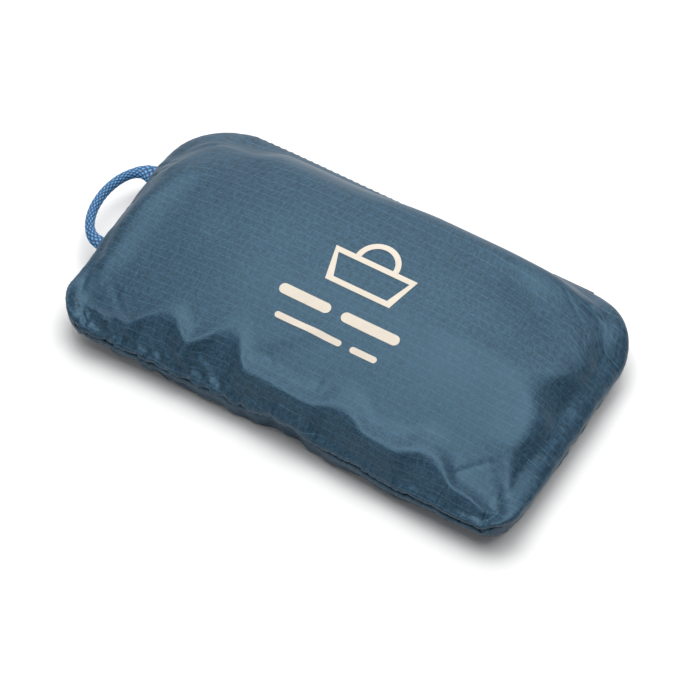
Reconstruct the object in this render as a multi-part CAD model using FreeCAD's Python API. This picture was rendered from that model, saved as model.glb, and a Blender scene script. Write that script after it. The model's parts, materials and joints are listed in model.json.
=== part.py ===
"""A foldable tote bag packed into its own zipped pouch, with a braided carry loop.

Frame: +Z up, origin at the centre of the flat face the pouch rests on. The pouch's long side runs
along X, the carry loop leaves the -X end, and the zip runs along the +Y side.
Each piece is its own solid and goes to parts/NAME.step, in millimetres.
"""

import FreeCAD
import Part
import math
import os

V = FreeCAD.Vector
X_AXIS, Z_AXIS = V(1, 0, 0), V(0, 0, 1)

# --- driving dimensions, mm ---------------------------------------------------------------------
LENGTH = 210.0  # pouch, along X
WIDTH = 118.0  # pouch, along Y
HEIGHT = 36.0  # pouch, at the middle of its crown
SEAM_Z = 15.0  # height of the seam that joins the upper and lower panels
SKIN = 0.8  # panel thickness, two layers of coated ripstop with the air between them
GAP = 0.1  # between pieces that touch when sewn

PLAN_RADIUS = 16.0  # pouch corner, seen from above
CORNER_TIGHTENING = 1 / 4  # how fast that radius falls as the outline is inset
CROWN_REACH = 46.0  # inset at which the crown becomes level
PROFILE_STEPS = 9

SEAM_ALLOWANCE = 6.0  # width of cloth turned in along the seam
BINDING_THICKNESS = 0.5
BINDING_COVER = 2.4  # how much of the allowance the binding wraps
STITCH_RADIUS = 0.3
STITCH_PITCH = 6.0
STITCH_INSET = 2.4  # seam stitches, in from the outline
ZIP_CLEAR = 2.0  # the seam's pieces stop this far short of the zip's tapes

ZIP_HALF = 80.0  # half the length of the zip's opening
TAPE_HALF = 88.0
SLIT = 2.6  # gap between the two lips of the opening
TAPE_THICKNESS = 0.4
TAPE_ANGLE = 38.0  # how far each tape wraps up or down the side, degrees
STITCH_ANGLE = 28.0  # the row of stitches through each tape and hem, degrees from the middle
TAPE_DEPTH = 2.6  # the tapes' outer face, in from the pouch's outer face
HEM_END_ANGLE = TAPE_ANGLE - 4.0  # the panel's turned hem stops just short of the tape's edge
HEM_OVERLAP = 0.1  # the hem runs this far into the panel it belongs to
HEM_BITE = 1.0  # how deep the zip's stitches go into the hem
CHAIN_GAP = 0.45  # from the zip's centreline to a tape edge or a tooth head
TOOTH_PITCH = 2.5
TOOTH_WIDTH = 1.2
COIL_THICKNESS = 1.25
COIL_HALF = 2.3  # outer edge of a coil row, from the centreline
COIL_GAP = 0.25  # between a coil row and the tape or slider plate beside it
ROW_WIDTH = 0.7  # the strip that joins the teeth of a row
ROW_END = 1.0  # a row stops this far short of the opening's end
ROW_LEAD = 0.2  # from a row's end to its first tooth
STOP_HALF = 0.8  # half the length of a zip stop
TAB_START = 0.4  # the end tabs start this far beyond the opening
TAB_THICKNESS = 0.6

SLIDER_LENGTH = 9.0
SLIDER_HALF_WIDTH = 3.2
SLIDER_X = 74.5  # the slider's centre when the zip is closed
SLIDER_CORNER = 0.8
SLIDER_CLEAR = 0.6  # between the slider's edges and the hems beside it
PLATE = 0.8  # slider plate thickness
PLATE_GAP = 0.2  # between the outer plate and the tapes
RAIL_WIDTH, RAIL_HEIGHT = 0.6, 0.9  # ridges along the edges of the inner plate
DIVIDER_LENGTH, DIVIDER_END = 2.6, 0.6  # the divider, and how far it stops short of the plates' end
DIVIDER_HALF = CHAIN_GAP - 0.1
BRIDGE_HALF = 3.0  # half the length of the slider's bridge
BRIDGE_HALF_WIDTH = 0.8
BRIDGE_WALL = 0.8
BRIDGE_RISE = 1.4  # the bridge's top, above the pull's pin
BRIDGE_EYE = 0.75  # half the height of the slot the pin turns in
PULL_LENGTH = 16.0
PULL_WIDTH = 4.4
PULL_THICKNESS = 1.0
PULL_CORNER = 1.6
PULL_EYE_RADIUS = 1.1
PULL_EYE_INSET = 3.0  # from the pull's far end to its eye
ARM_START = 0.95  # inner face of the pull's arms, from the middle
ARM_OVERLAP = 0.5  # the arms run this far into the tab
PIN_RADIUS = 0.6
PIN_RISE = 1.0  # the pull's pin, out from the side of the pouch

CORD_RADIUS = 2.0
CORD_SPREAD = 40.0  # between the two places where the cord leaves the seam
CORD_OFFSET = 3.0  # the loop sits this far towards the zip from the middle of its side
CORD_REACH = 11.5  # from the loop's hinge line to the middle of the cord at its far point
CORD_TAIL = 12.0
TACKS_PER_TAIL = 3
TACK_START, TACK_PITCH = 4.2, 0.8  # first thread of a bar tack, in from the pouch's end, and the next

FILM = 0.15  # thickness of the heat-transfer print
SIGN_STROKE = 2.4
SIGN_X = 2.5  # middle of the bag sign
SIGN_FOOT, SIGN_MOUTH = 14.5, 18.5  # half widths of the bag sign
SIGN_LOW, SIGN_HIGH = 1.0, 16.5
HANDLE_Y, HANDLE_RADIUS = 16.4, 9.6
WIDE_BAR_Y, WIDE_BAR_HEIGHT = -10.0, 4.4
WIDE_BARS = ((-26, -3), (2, 28))  # start and end of each bar
THIN_BAR_Y, THIN_BAR_HEIGHT = -20.5, 2.6
THIN_BARS = ((-22, 8), (12, 24))

FOLD_LAYER = 0.8  # one fold of the tote's cloth
FOLD_GAP = 0.5
STACK_HALF_X = 86.0
STACK_HALF_Y = 44.0
STACK_BASE = SKIN + 1.6  # underside of the folded bag
STACK_REST = 0.3  # between one folded piece and the next
BACK_LAYERS, GUSSET_LAYERS, FRONT_LAYERS, STRAP_LAYERS = 6, 3, 8, 3
WEBBING = 1.4
STRAP_WIDTH, MOUTH_BINDING_WIDTH = 32.0, 11.0
STRAP_INSET = 10.0  # the folded straps are this much shorter than the stack
FRONT_INSET_X, FRONT_INSET_Y = 26.0, 16.0  # the top layers are smaller, under the crown of the pouch
PATCH, PATCH_THICKNESS, PATCH_X = 30.0, 0.8, 50.0
LABEL_X, LABEL_Y, LABEL_THICKNESS = 24.0, 16.0, 0.3

# --- places worked out from them ----------------------------------------------------------------
HALF_X, HALF_Y = LENGTH / 2, WIDTH / 2
SIDE_RADIUS = SEAM_Z  # the lower edge is a quarter circle that ends on the resting plane
ZIP_AXIS_Y = HALF_Y - SIDE_RADIUS  # axis that the zip's curved tapes are drawn about
TAPE_OUTER = SIDE_RADIUS - TAPE_DEPTH
TAPE_INNER = TAPE_OUTER - TAPE_THICKNESS
HEM_OUTER = SIDE_RADIUS - SKIN
COIL_Y = ZIP_AXIS_Y + TAPE_INNER - COIL_GAP - COIL_THICKNESS  # inner face of the coil rows
COIL_END_Y = COIL_Y + COIL_THICKNESS
PULL_Y = HALF_Y + PIN_RISE
HINGE_X = -HALF_X - CORD_RADIUS - 0.3  # line the carry loop swings about
BINDING_START = SEAM_ALLOWANCE + GAP - BINDING_COVER  # insets between which the binding lies
BINDING_END = SEAM_ALLOWANCE + GAP + BINDING_THICKNESS
SLEEVE_RADIUS = CORD_RADIUS + GAP + BINDING_THICKNESS  # where the binding wraps the carry cord
CORD_ENDS = {"front": CORD_OFFSET - CORD_SPREAD / 2, "back": CORD_OFFSET + CORD_SPREAD / 2}


def save(name, shape):
    """Write one node, and stop if it is not made of closed, valid solids."""
    bad = [s for s in shape.Solids if not s.isValid() or s.Volume <= 0]
    if bad or not shape.Solids:
        raise ValueError(f"{name} has {len(bad)} bad solids out of {len(shape.Solids)}")
    shape.exportStep(os.path.join("parts", name + ".step"))


def box(x0, x1, y0, y1, z0, z1):
    return Part.makeBox(x1 - x0, y1 - y0, z1 - z0, V(x0, y0, z0))


def rod(radius, start, end):
    axis = end.sub(start)
    return Part.makeCylinder(radius, axis.Length, start, axis)


def outline(inset, z):
    """Rounded rectangle a given distance inside the pouch's widest outline."""
    a, b = HALF_X - inset, HALF_Y - inset
    r = PLAN_RADIUS - max(inset, 0) * CORNER_TIGHTENING
    diagonal = r * math.sqrt(0.5)
    edges = []
    for sx, sy in ((1, 1), (-1, 1), (-1, -1), (1, -1)):
        cx, cy = sx * (a - r), sy * (b - r)
        side, end = V(cx + sx * r, cy, z), V(cx, cy + sy * r, z)
        middle = V(cx + sx * diagonal, cy + sy * diagonal, z)
        first, last = (side, end) if sx == sy else (end, side)
        edges.append(Part.Arc(first, middle, last).toShape())
    joined = []
    for i, arc in enumerate(edges):
        following = edges[(i + 1) % len(edges)]
        joined.append(arc)
        joined.append(Part.makeLine(arc.Vertexes[-1].Point, following.Vertexes[0].Point))
    return Part.Wire(joined)


def half_body(inset, reach, rise):
    """Closed solid from the seam plane to a level cap, with sides that are quarter ellipses."""
    sections = []
    for step in range(PROFILE_STEPS + 1):
        angle = math.radians(90 * step / PROFILE_STEPS)
        run = reach * (1 - math.cos(angle))
        sections.append(outline(inset + run, SEAM_Z + rise * math.sin(angle)))
    return Part.makeLoft(sections, True, False)


def upper_body(skin):
    """Crowned upper half of the pouch, a skin's depth inside its outer face."""
    return half_body(skin, CROWN_REACH - skin, HEIGHT - SEAM_Z - skin)


def lower_body(skin):
    """Lower half of the pouch, down to the flat resting face."""
    return half_body(skin, SIDE_RADIUS - skin, skin - SIDE_RADIUS)


def ring(outer_inset, inner_inset, z0, z1):
    """Flat band that follows the pouch's outline."""
    rise = V(0, 0, z1 - z0)
    outer = Part.Face(outline(outer_inset, z0)).extrude(rise)
    return outer.cut(Part.Face(outline(inner_inset, z0)).extrude(rise))


def zip_side(clear):
    """Space along the +Y side that belongs to the zip, so that the seam's pieces stop short of it."""
    half = TAPE_HALF + clear
    return box(-half, half, HALF_Y - PLAN_RADIUS / 2, HALF_Y, 0, HEIGHT)


def cord_ways(radius, start, end):
    """Two rods along X where the carry cord passes through the seam; start and end from its edge."""
    x0, x1 = start - HALF_X, end - HALF_X
    rods = [rod(radius, V(x0, y, SEAM_Z), V(x1, y, SEAM_Z)) for y in CORD_ENDS.values()]
    return Part.makeCompound(rods)


def arc_strip(r0, r1, angle0, angle1, x0, x1):
    """Strip of constant thickness bent about the zip's axis; angles in degrees up from +Y."""
    centre = V(0, ZIP_AXIS_Y, SEAM_Z)
    corners = [
        V(x0, ZIP_AXIS_Y + r0, SEAM_Z),
        V(x1, ZIP_AXIS_Y + r0, SEAM_Z),
        V(x1, ZIP_AXIS_Y + r1, SEAM_Z),
        V(x0, ZIP_AXIS_Y + r1, SEAM_Z),
    ]
    section = Part.Face(Part.makePolygon(corners + corners[:1]))
    section.rotate(centre, X_AXIS, angle0)
    return section.revolve(centre, X_AXIS, angle1 - angle0)


def make_panels():
    """The pouch's two panels, each a shell with the seam's allowance and the zip's hem turned in."""
    opening = box(-ZIP_HALF, ZIP_HALF, ZIP_AXIS_Y, HALF_Y + 1, SEAM_Z - SLIT / 2, SEAM_Z + SLIT / 2)
    cord_holes = cord_ways(CORD_RADIUS + GAP, -1, CORD_TAIL + 1)
    sleeve_holes = cord_ways(SLEEVE_RADIUS + GAP, BINDING_START - GAP, BINDING_END + GAP)
    hem_start = math.degrees(math.asin((SLIDER_HALF_WIDTH + SLIDER_CLEAR) / HEM_OUTER))
    for name, body, sign in (("top", upper_body, 1), ("bottom", lower_body, -1)):
        shell = body(0).cut(body(SKIN))
        z = SEAM_Z if sign > 0 else SEAM_Z - SKIN
        allowance = ring(SKIN / 2, SEAM_ALLOWANCE, z, z + SKIN).cut(zip_side(ZIP_CLEAR))
        low, high = sorted((sign * hem_start, sign * HEM_END_ANGLE))
        hem = arc_strip(TAPE_OUTER + GAP, HEM_OUTER + HEM_OVERLAP, low, high, -ZIP_HALF, ZIP_HALF)
        panel = shell.fuse([allowance, hem.common(body(SKIN / 2))])
        panel = panel.cut([opening, cord_holes, sleeve_holes])
        panel.translate(V(0, 0, sign * GAP / 2))
        if sign < 0:
            panel = panel.common(box(-LENGTH, LENGTH, -WIDTH, WIDTH, 0, HEIGHT))
        save(f"pouch_{name}_panel", panel.removeSplitter())


def make_seam():
    """Binding tape round the seam allowance, and the stitches through it."""
    half = SKIN + GAP / 2 + GAP
    outer_half = half + BINDING_THICKNESS
    outer = ring(BINDING_START, BINDING_END, SEAM_Z - outer_half, SEAM_Z + outer_half)
    slot = ring(BINDING_START - 1, SEAM_ALLOWANCE + GAP, SEAM_Z - half, SEAM_Z + half)
    sleeves = cord_ways(SLEEVE_RADIUS, BINDING_START, BINDING_END)
    binding = outer.cut([slot, zip_side(ZIP_CLEAR)]).fuse(sleeves.Solids)
    binding = binding.cut(cord_ways(CORD_RADIUS + GAP, -1, CORD_TAIL + 1))
    save("pouch_seam_binding", binding.removeSplitter())

    path = outline(STITCH_INSET, SEAM_Z)
    cords = cord_ways(CORD_RADIUS + 1, -1, CORD_TAIL)
    keep_clear = Part.makeCompound([zip_side(2 * ZIP_CLEAR), *cords.Solids])
    stitches = []
    for point in path.discretize(Number=round(path.Length / STITCH_PITCH)):
        stitch = rod(STITCH_RADIUS, point.add(V(0, 0, -half)), point.add(V(0, 0, half)))
        if stitch.common(keep_clear).Volume == 0:
            stitches.append(stitch)
    save("pouch_seam_stitching", Part.makeCompound(stitches))


def rounded_bar(x0, x1, y, thickness):
    """Flat bar with round ends, as a face on the XY plane."""
    r = thickness / 2
    left, right = V(x0 + r, y, 0), V(x1 - r, y, 0)
    lower = Part.makeLine(left.sub(V(0, r, 0)), right.sub(V(0, r, 0)))
    nose = Part.Arc(right.sub(V(0, r, 0)), right.add(V(r, 0, 0)), right.add(V(0, r, 0))).toShape()
    upper = Part.makeLine(right.add(V(0, r, 0)), left.add(V(0, r, 0)))
    tail = Part.Arc(left.add(V(0, r, 0)), left.sub(V(r, 0, 0)), left.sub(V(0, r, 0))).toShape()
    return Part.Face(Part.Wire([lower, nose, upper, tail]))


def bag_outline(inset):
    """Plain tote shape, wider at its mouth and drawn in by an inset, as a face on the XY plane."""
    foot, mouth = SIGN_FOOT - inset, SIGN_MOUTH - inset
    low, high = SIGN_LOW + inset, SIGN_HIGH - inset
    corners = [
        V(SIGN_X - foot, low, 0),
        V(SIGN_X + foot, low, 0),
        V(SIGN_X + mouth, high, 0),
        V(SIGN_X - mouth, high, 0),
    ]
    return Part.Face(Part.makePolygon(corners + corners[:1]))


def half_ring(centre, radius, stroke):
    """Upper half of a flat ring on the XY plane."""
    outer = Part.Face(Part.Wire(Part.makeCircle(radius, centre)))
    inner = Part.Face(Part.Wire(Part.makeCircle(radius - stroke, centre)))
    below = Part.makePlane(4 * radius, 2 * radius, centre.sub(V(2 * radius, 2 * radius, 0)))
    return outer.cut([inner, below])


def make_print():
    """Heat-transfer print on the upper panel: a plain bag sign over two rows of bars."""
    bag = bag_outline(0).cut(bag_outline(SIGN_STROKE))
    handle = half_ring(V(SIGN_X, HANDLE_Y, 0), HANDLE_RADIUS, SIGN_STROKE)
    bars = [rounded_bar(x0, x1, WIDE_BAR_Y, WIDE_BAR_HEIGHT) for x0, x1 in WIDE_BARS]
    bars += [rounded_bar(x0, x1, THIN_BAR_Y, THIN_BAR_HEIGHT) for x0, x1 in THIN_BARS]
    coat = upper_body(-FILM).cut(upper_body(0))
    pieces = []
    for mark in [bag, handle, *bars]:
        prism = mark.extrude(V(0, 0, HEIGHT))
        prism.translate(V(0, 0, HEIGHT / 2))
        pieces.append(prism.common(coat))
    sheet = pieces[0].fuse(pieces[1:]).removeSplitter()
    sheet.translate(V(0, 0, GAP / 2 + 0.01))
    save("printed_emblem", sheet)


def coil_box(x0, x1, z0, z1):
    """Block in the plane of the coil rows; heights from the zip's centreline."""
    return box(x0, x1, COIL_Y, COIL_END_Y, SEAM_Z + z0, SEAM_Z + z1)


def make_zip_row(name, sign):
    """One row of teeth on its joining strip; the lower row is half a pitch along."""
    strip = sorted((sign * (COIL_HALF - ROW_WIDTH), sign * COIL_HALF))
    reach = sorted((sign * CHAIN_GAP, sign * (COIL_HALF - ROW_WIDTH + GAP)))
    start, end = -ZIP_HALF + ROW_END, ZIP_HALF - ROW_END
    x = start + ROW_LEAD + (TOOTH_PITCH / 2 if sign < 0 else 0)
    teeth = []
    while x + TOOTH_WIDTH < end:
        teeth.append(coil_box(x, x + TOOTH_WIDTH, *reach))
        x += TOOTH_PITCH
    save(f"zipper_coil_{name}", coil_box(start, end, *strip).fuse(teeth).removeSplitter())


def make_zip():
    """Two tapes, two toothed rows, the stops and the tabs that cover the tape ends."""
    gap_angle = math.degrees(math.asin(CHAIN_GAP / TAPE_OUTER))
    for name, sign in (("upper", 1), ("lower", -1)):
        low, high = sorted((sign * gap_angle, sign * TAPE_ANGLE))
        tape = arc_strip(TAPE_INNER, TAPE_OUTER, low, high, -TAPE_HALF, TAPE_HALF)
        save(f"zipper_tape_{name}", tape)
        make_zip_row(name, sign)

    x0, x1 = ZIP_HALF - STOP_HALF, ZIP_HALF + STOP_HALF
    tops = [coil_box(x0, x1, CHAIN_GAP, COIL_HALF), coil_box(x0, x1, -COIL_HALF, -CHAIN_GAP)]
    save("zipper_top_stops", Part.makeCompound(tops))
    save("zipper_bottom_stop", coil_box(-x1, -x0, -COIL_HALF, COIL_HALF))

    cover = math.degrees(math.asin(SLIDER_HALF_WIDTH / TAPE_OUTER))
    inner = TAPE_OUTER + GAP
    for name, x0, x1 in (
        ("left", -TAPE_HALF, -ZIP_HALF - TAB_START),
        ("right", ZIP_HALF + TAB_START, TAPE_HALF),
    ):
        tab = arc_strip(inner, inner + TAB_THICKNESS, -cover, cover, x0, x1)
        save(f"zipper_end_tab_{name}", tab)


def make_zip_stitching():
    """Stitches that hold each tape to the turned hem of its panel."""
    angle = math.radians(STITCH_ANGLE)
    stitches = []
    count = int(2 * ZIP_HALF / STITCH_PITCH)
    for sign in (-1, 1):
        along = V(0, math.cos(angle), sign * math.sin(angle))
        centre = V(0, ZIP_AXIS_Y, SEAM_Z)
        for i in range(count):
            x = -ZIP_HALF + STITCH_PITCH / 2 + i * STITCH_PITCH
            start = centre.add(along * (TAPE_INNER - STITCH_RADIUS)).add(V(x, 0, 0))
            end = centre.add(along * (TAPE_OUTER + HEM_BITE)).add(V(x, 0, 0))
            stitches.append(rod(STITCH_RADIUS, start, end))
    save("zipper_stitching", Part.makeCompound(stitches))


def corner_edges(shape, far):
    """Edges parallel to Y whose middle the given test accepts."""
    return [
        e for e in shape.Edges
        if abs(e.tangentAt(e.FirstParameter).y) > 0.99 and far(e.CenterOfMass)
    ]


def make_slider():
    """Slider: two plates held together by a thin divider, and a bridge for the pull."""
    x0, x1 = SLIDER_X - SLIDER_LENGTH / 2, SLIDER_X + SLIDER_LENGTH / 2
    z0, z1 = SEAM_Z - SLIDER_HALF_WIDTH, SEAM_Z + SLIDER_HALF_WIDTH
    outer_y = ZIP_AXIS_Y + TAPE_OUTER + PLATE_GAP
    inner_y = COIL_Y - COIL_GAP
    outer = box(x0, x1, outer_y, outer_y + PLATE, z0, z1)
    inner = box(x0, x1, inner_y - PLATE, inner_y, z0, z1)
    rails = [
        box(x0, x1, inner_y - PLATE, inner_y + RAIL_HEIGHT, z, z + RAIL_WIDTH)
        for z in (z0, z1 - RAIL_WIDTH)
    ]
    divider_end = x1 - DIVIDER_END
    divider = box(divider_end - DIVIDER_LENGTH, divider_end, inner_y - PLATE, outer_y + PLATE,
                  SEAM_Z - DIVIDER_HALF, SEAM_Z + DIVIDER_HALF)
    bridge = box(SLIDER_X - BRIDGE_HALF, SLIDER_X + BRIDGE_HALF, outer_y, PULL_Y + BRIDGE_RISE,
                 SEAM_Z - BRIDGE_HALF_WIDTH, SEAM_Z + BRIDGE_HALF_WIDTH)
    eye_half = BRIDGE_HALF - BRIDGE_WALL
    eye = box(SLIDER_X - eye_half, SLIDER_X + eye_half, PULL_Y - BRIDGE_EYE, PULL_Y + BRIDGE_EYE, z0, z1)
    body = outer.fuse([inner, *rails, divider, bridge.cut(eye)]).removeSplitter()
    corners = corner_edges(
        body,
        lambda place: abs(place.x - SLIDER_X) > SLIDER_LENGTH / 2 - 0.01
        and abs(place.z - SEAM_Z) > SLIDER_HALF_WIDTH - 0.01,
    )
    save("slider_body", body.makeFillet(SLIDER_CORNER, corners))


def make_pull():
    """Pull tab: a pin through the bridge, two arms past its sides, and a flat tab with an eye."""
    half, half_width = PULL_THICKNESS / 2, PULL_WIDTH / 2
    y0, y1 = PULL_Y - half, PULL_Y + half
    z0, z1 = SEAM_Z - half_width, SEAM_Z + half_width
    pin = rod(PIN_RADIUS, V(SLIDER_X, PULL_Y, z0), V(SLIDER_X, PULL_Y, z1))
    tab_start, tab_end = SLIDER_X - BRIDGE_HALF - BRIDGE_WALL, SLIDER_X - PULL_LENGTH
    arms = [
        box(tab_start - ARM_OVERLAP, SLIDER_X, y0, y1, low, high)
        for low, high in ((SEAM_Z + ARM_START, z1), (z0, SEAM_Z - ARM_START))
    ]
    tab = box(tab_end, tab_start, y0, y1, z0, z1)
    tab = tab.makeFillet(PULL_CORNER, corner_edges(tab, lambda place: place.x < tab_end + 0.1))
    eye_x = tab_end + PULL_EYE_INSET
    eye = rod(PULL_EYE_RADIUS, V(eye_x, y0 - 1, SEAM_Z), V(eye_x, y1 + 1, SEAM_Z))
    save("pull_tab", tab.cut(eye).fuse([pin, *arms]).removeSplitter())


def make_carry_cord():
    """Braided loop that swings on the seam, its two tails inside, and the thread that holds them."""
    centre = V(HINGE_X, CORD_OFFSET, SEAM_Z)
    side, far = V(0, CORD_SPREAD / 2, 0), V(-CORD_REACH, 0, 0)
    arc = Part.Ellipse(centre.add(side), centre.add(far), centre).toShape(0, math.pi)
    circle = Part.Wire(Part.makeCircle(CORD_RADIUS, arc.Vertexes[0].Point, X_AXIS))
    tube = Part.Wire(arc).makePipeShell([circle], True, True)
    balls = [Part.makeSphere(CORD_RADIUS, v.Point) for v in arc.Vertexes]
    save("carry_cord_loop", tube.fuse(balls).removeSplitter())

    reach = SLEEVE_RADIUS + GAP
    bartacks = []
    for name, y in CORD_ENDS.items():
        tail = rod(CORD_RADIUS, V(-HALF_X - GAP, y, SEAM_Z), V(-HALF_X + CORD_TAIL, y, SEAM_Z))
        save(f"carry_cord_tail_{name}", tail)
        for i in range(TACKS_PER_TAIL):
            x = -HALF_X + TACK_START + i * TACK_PITCH
            bartacks.append(rod(STITCH_RADIUS, V(x, y, SEAM_Z - reach), V(x, y, SEAM_Z + reach)))
    save("carry_cord_bartacks", Part.makeCompound(bartacks))


def folded(layers, length, width, layer, centre_y, z0, along_x=False):
    """Cloth folded back and forth: flat layers joined by round bends at alternate ends."""
    pitch = layer + FOLD_GAP
    bend = (pitch + layer) / 2
    half_l, half_w = length / 2, width / 2 - bend
    pieces = []
    for i in range(layers):
        z = z0 + i * pitch
        pieces.append(box(-half_l, half_l, -half_w, half_w, z, z + layer))
        if i == layers - 1:
            continue
        side = 1 if i % 2 == 0 else -1
        middle = z + bend
        start, end = V(-half_l, side * half_w, middle), V(half_l, side * half_w, middle)
        outer, inner = rod(bend, start, end), rod(FOLD_GAP / 2, start, end)
        keep = box(-half_l, half_l, *sorted((side * half_w, side * (half_w + bend))), z, z + 2 * bend)
        pieces.append(outer.cut(inner).common(keep))
    cloth = pieces[0].fuse(pieces[1:]).removeSplitter()
    if along_x:
        cloth.rotate(V(0, 0, 0), Z_AXIS, 90)
    cloth.translate(V(0, centre_y, 0))
    return cloth


def stack_step(layers, layer):
    """Height from the underside of a folded piece to the underside of the next."""
    return layers * (layer + FOLD_GAP) - FOLD_GAP + STACK_REST


def make_tote():
    """The bag itself, folded flat inside the pouch, from the bottom of the stack to the top."""
    length, width = 2 * STACK_HALF_X, 2 * STACK_HALF_Y
    z = STACK_BASE
    save("tote_back_panel", folded(BACK_LAYERS, length, width, FOLD_LAYER, 0, z))
    z += stack_step(BACK_LAYERS, FOLD_LAYER)
    save("tote_gusset", folded(GUSSET_LAYERS, width, length, FOLD_LAYER, 0, z, along_x=True))
    z += stack_step(GUSSET_LAYERS, FOLD_LAYER)

    strap_length = length - STRAP_INSET
    strap_y = STACK_HALF_Y - STRAP_WIDTH / 2
    for name, band_width, y in (
        ("tote_strap_front", STRAP_WIDTH, -strap_y),
        ("tote_strap_back", STRAP_WIDTH, strap_y),
        ("tote_mouth_binding", MOUTH_BINDING_WIDTH, 0),
    ):
        save(name, folded(STRAP_LAYERS, band_width, strap_length, WEBBING, y, z, along_x=True))
    z += stack_step(STRAP_LAYERS, WEBBING)

    patches = []
    for x in (-PATCH_X, PATCH_X):
        for y in (-strap_y, strap_y):
            x0, y0 = x - PATCH / 2, y - PATCH / 2
            patches.append(box(x0, x0 + PATCH, y0, y0 + PATCH, z, z + PATCH_THICKNESS))
    save("strap_patches", Part.makeCompound(patches))
    label = box(-LABEL_X / 2, LABEL_X / 2, -LABEL_Y / 2, LABEL_Y / 2, z, z + LABEL_THICKNESS)
    save("care_label", label)
    z += PATCH_THICKNESS + STACK_REST
    front = folded(FRONT_LAYERS, length - FRONT_INSET_X, width - FRONT_INSET_Y, FOLD_LAYER, 0, z)
    save("tote_front_panel", front)


def main():
    os.makedirs("parts", exist_ok=True)
    make_panels()
    make_seam()
    make_print()
    make_zip()
    make_zip_stitching()
    make_slider()
    make_pull()
    make_carry_cord()
    make_tote()


main()
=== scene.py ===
"""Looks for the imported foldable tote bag: stuffed ripstop pouch, printed sign, zip and braided carry cord.

The pouch is sewn from two flat panels and inflated by a cloth simulation; seams, gathers and lips are
worked into the result. Metres throughout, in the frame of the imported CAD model.
"""

import json
import math

import bpy
import numpy as np
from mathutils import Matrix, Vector


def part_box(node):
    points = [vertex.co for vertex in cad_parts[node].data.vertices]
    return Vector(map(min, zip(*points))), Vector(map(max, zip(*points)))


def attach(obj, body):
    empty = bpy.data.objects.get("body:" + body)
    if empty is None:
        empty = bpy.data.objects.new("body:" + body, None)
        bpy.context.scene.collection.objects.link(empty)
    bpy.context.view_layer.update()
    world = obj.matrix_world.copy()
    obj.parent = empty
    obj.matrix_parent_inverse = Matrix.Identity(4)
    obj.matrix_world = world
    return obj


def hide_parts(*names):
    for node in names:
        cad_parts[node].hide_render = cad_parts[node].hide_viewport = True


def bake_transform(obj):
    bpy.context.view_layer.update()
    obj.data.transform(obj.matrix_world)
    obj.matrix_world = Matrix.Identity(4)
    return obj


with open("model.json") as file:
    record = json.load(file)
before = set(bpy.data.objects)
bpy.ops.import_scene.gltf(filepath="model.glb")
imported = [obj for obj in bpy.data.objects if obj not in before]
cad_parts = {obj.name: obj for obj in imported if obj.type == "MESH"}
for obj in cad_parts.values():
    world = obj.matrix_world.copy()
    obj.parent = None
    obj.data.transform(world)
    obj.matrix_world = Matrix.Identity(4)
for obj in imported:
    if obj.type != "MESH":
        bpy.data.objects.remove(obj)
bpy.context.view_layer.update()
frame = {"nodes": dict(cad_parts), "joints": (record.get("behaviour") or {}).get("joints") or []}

MM = 0.001

# --- places read from the frame ---
TOP_LOW, TOP_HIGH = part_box("pouch_top_panel")
HALF_X, HALF_Y = TOP_HIGH.x, TOP_HIGH.y
HEIGHT = TOP_HIGH.z
SEAM_Z = round(TOP_LOW.z, 4)
LOOP_LOW, LOOP_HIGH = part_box("carry_cord_loop")
TAIL_LOW, TAIL_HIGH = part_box("carry_cord_tail_front")
CORD_R = (TAIL_HIGH.y - TAIL_LOW.y) / 2
CORD_Y = (LOOP_LOW.y + CORD_R, LOOP_HIGH.y - CORD_R)
COIL_LOW, COIL_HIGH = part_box("zipper_coil_upper")
ZIP_HALF = COIL_HIGH.x + 1 * MM
SWING = next(j for j in frame["joints"] if j["name"] == "cord_loop_swing")
HINGE_X = SWING["pos_m"][0]

# --- cloth ---
FLAT_X, FLAT_Y = HALF_X + 4.5 * MM, HALF_Y + 5.5 * MM  # half sizes of each panel before filling
FLAT_RADIUS = 20 * MM
# corner radii of the filled pouch seen from above: the front corners keep more of their points
BACK_LEFT, BACK_RIGHT, FRONT_LEFT, FRONT_RIGHT = 30 * MM, 25 * MM, 16 * MM, 13 * MM
FRONT_WAIST = 4 * MM  # the front edge is drawn in this much between its corners
FRONT_FLARE = 1 * MM  # and stands out this much towards the right
SIDE_BOW = 0.03  # the long edges are cut slightly convex so that they fill out straight
SIM_STEP = 2.3 * MM
SIM_SCALE = 10.0  # the solver works better on metre-sized cloth
SIM_FRAMES = 24
CLOTH_SETTINGS = {
    "quality": 6, "mass": 0.3, "air_damping": 1,
    "tension_stiffness": 15, "compression_stiffness": 15, "shear_stiffness": 5, "bending_stiffness": 0.3,
    "tension_damping": 5, "compression_damping": 5, "shear_damping": 5, "bending_damping": 0.5,
    "use_pressure": True, "uniform_pressure_force": 5.0,
    "shrink_max": 0.08,  # the seam thread gathers its cloth by this share
}
SEAM_SAG = 4.0 * MM  # the front seam hangs this much lower in the middle than at its ends
SEAM_DROP = 6.5 * MM  # and this much lower along the right side
SEAM_TUCK = 3.2 * MM  # where the cloth above hides it, the seam lies this much further in
LIP_RADIUS = 1.3 * MM  # each panel rolls outwards over the turned-in seam
ZIP_SLIT = 1.3 * MM  # half the slit over the zip
# half the gap between the panels: along the seam, where the front seam gapes, and beside the cord
SEAM_GAP, RAGGED_GAP, CORD_GAP = 0.14 * MM, 0.9 * MM, 1.5 * MM
RIPSTOP_PITCH = 3.3 * MM
BRAID_STRANDS, BRAID_PITCH = 9, 2.7 * MM  # strands round the cord each way, and one strand's run along it
BRAID_STEP = 0.2 * MM  # spacing of the cord's rings
THREAD_R = 0.16 * MM

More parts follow.
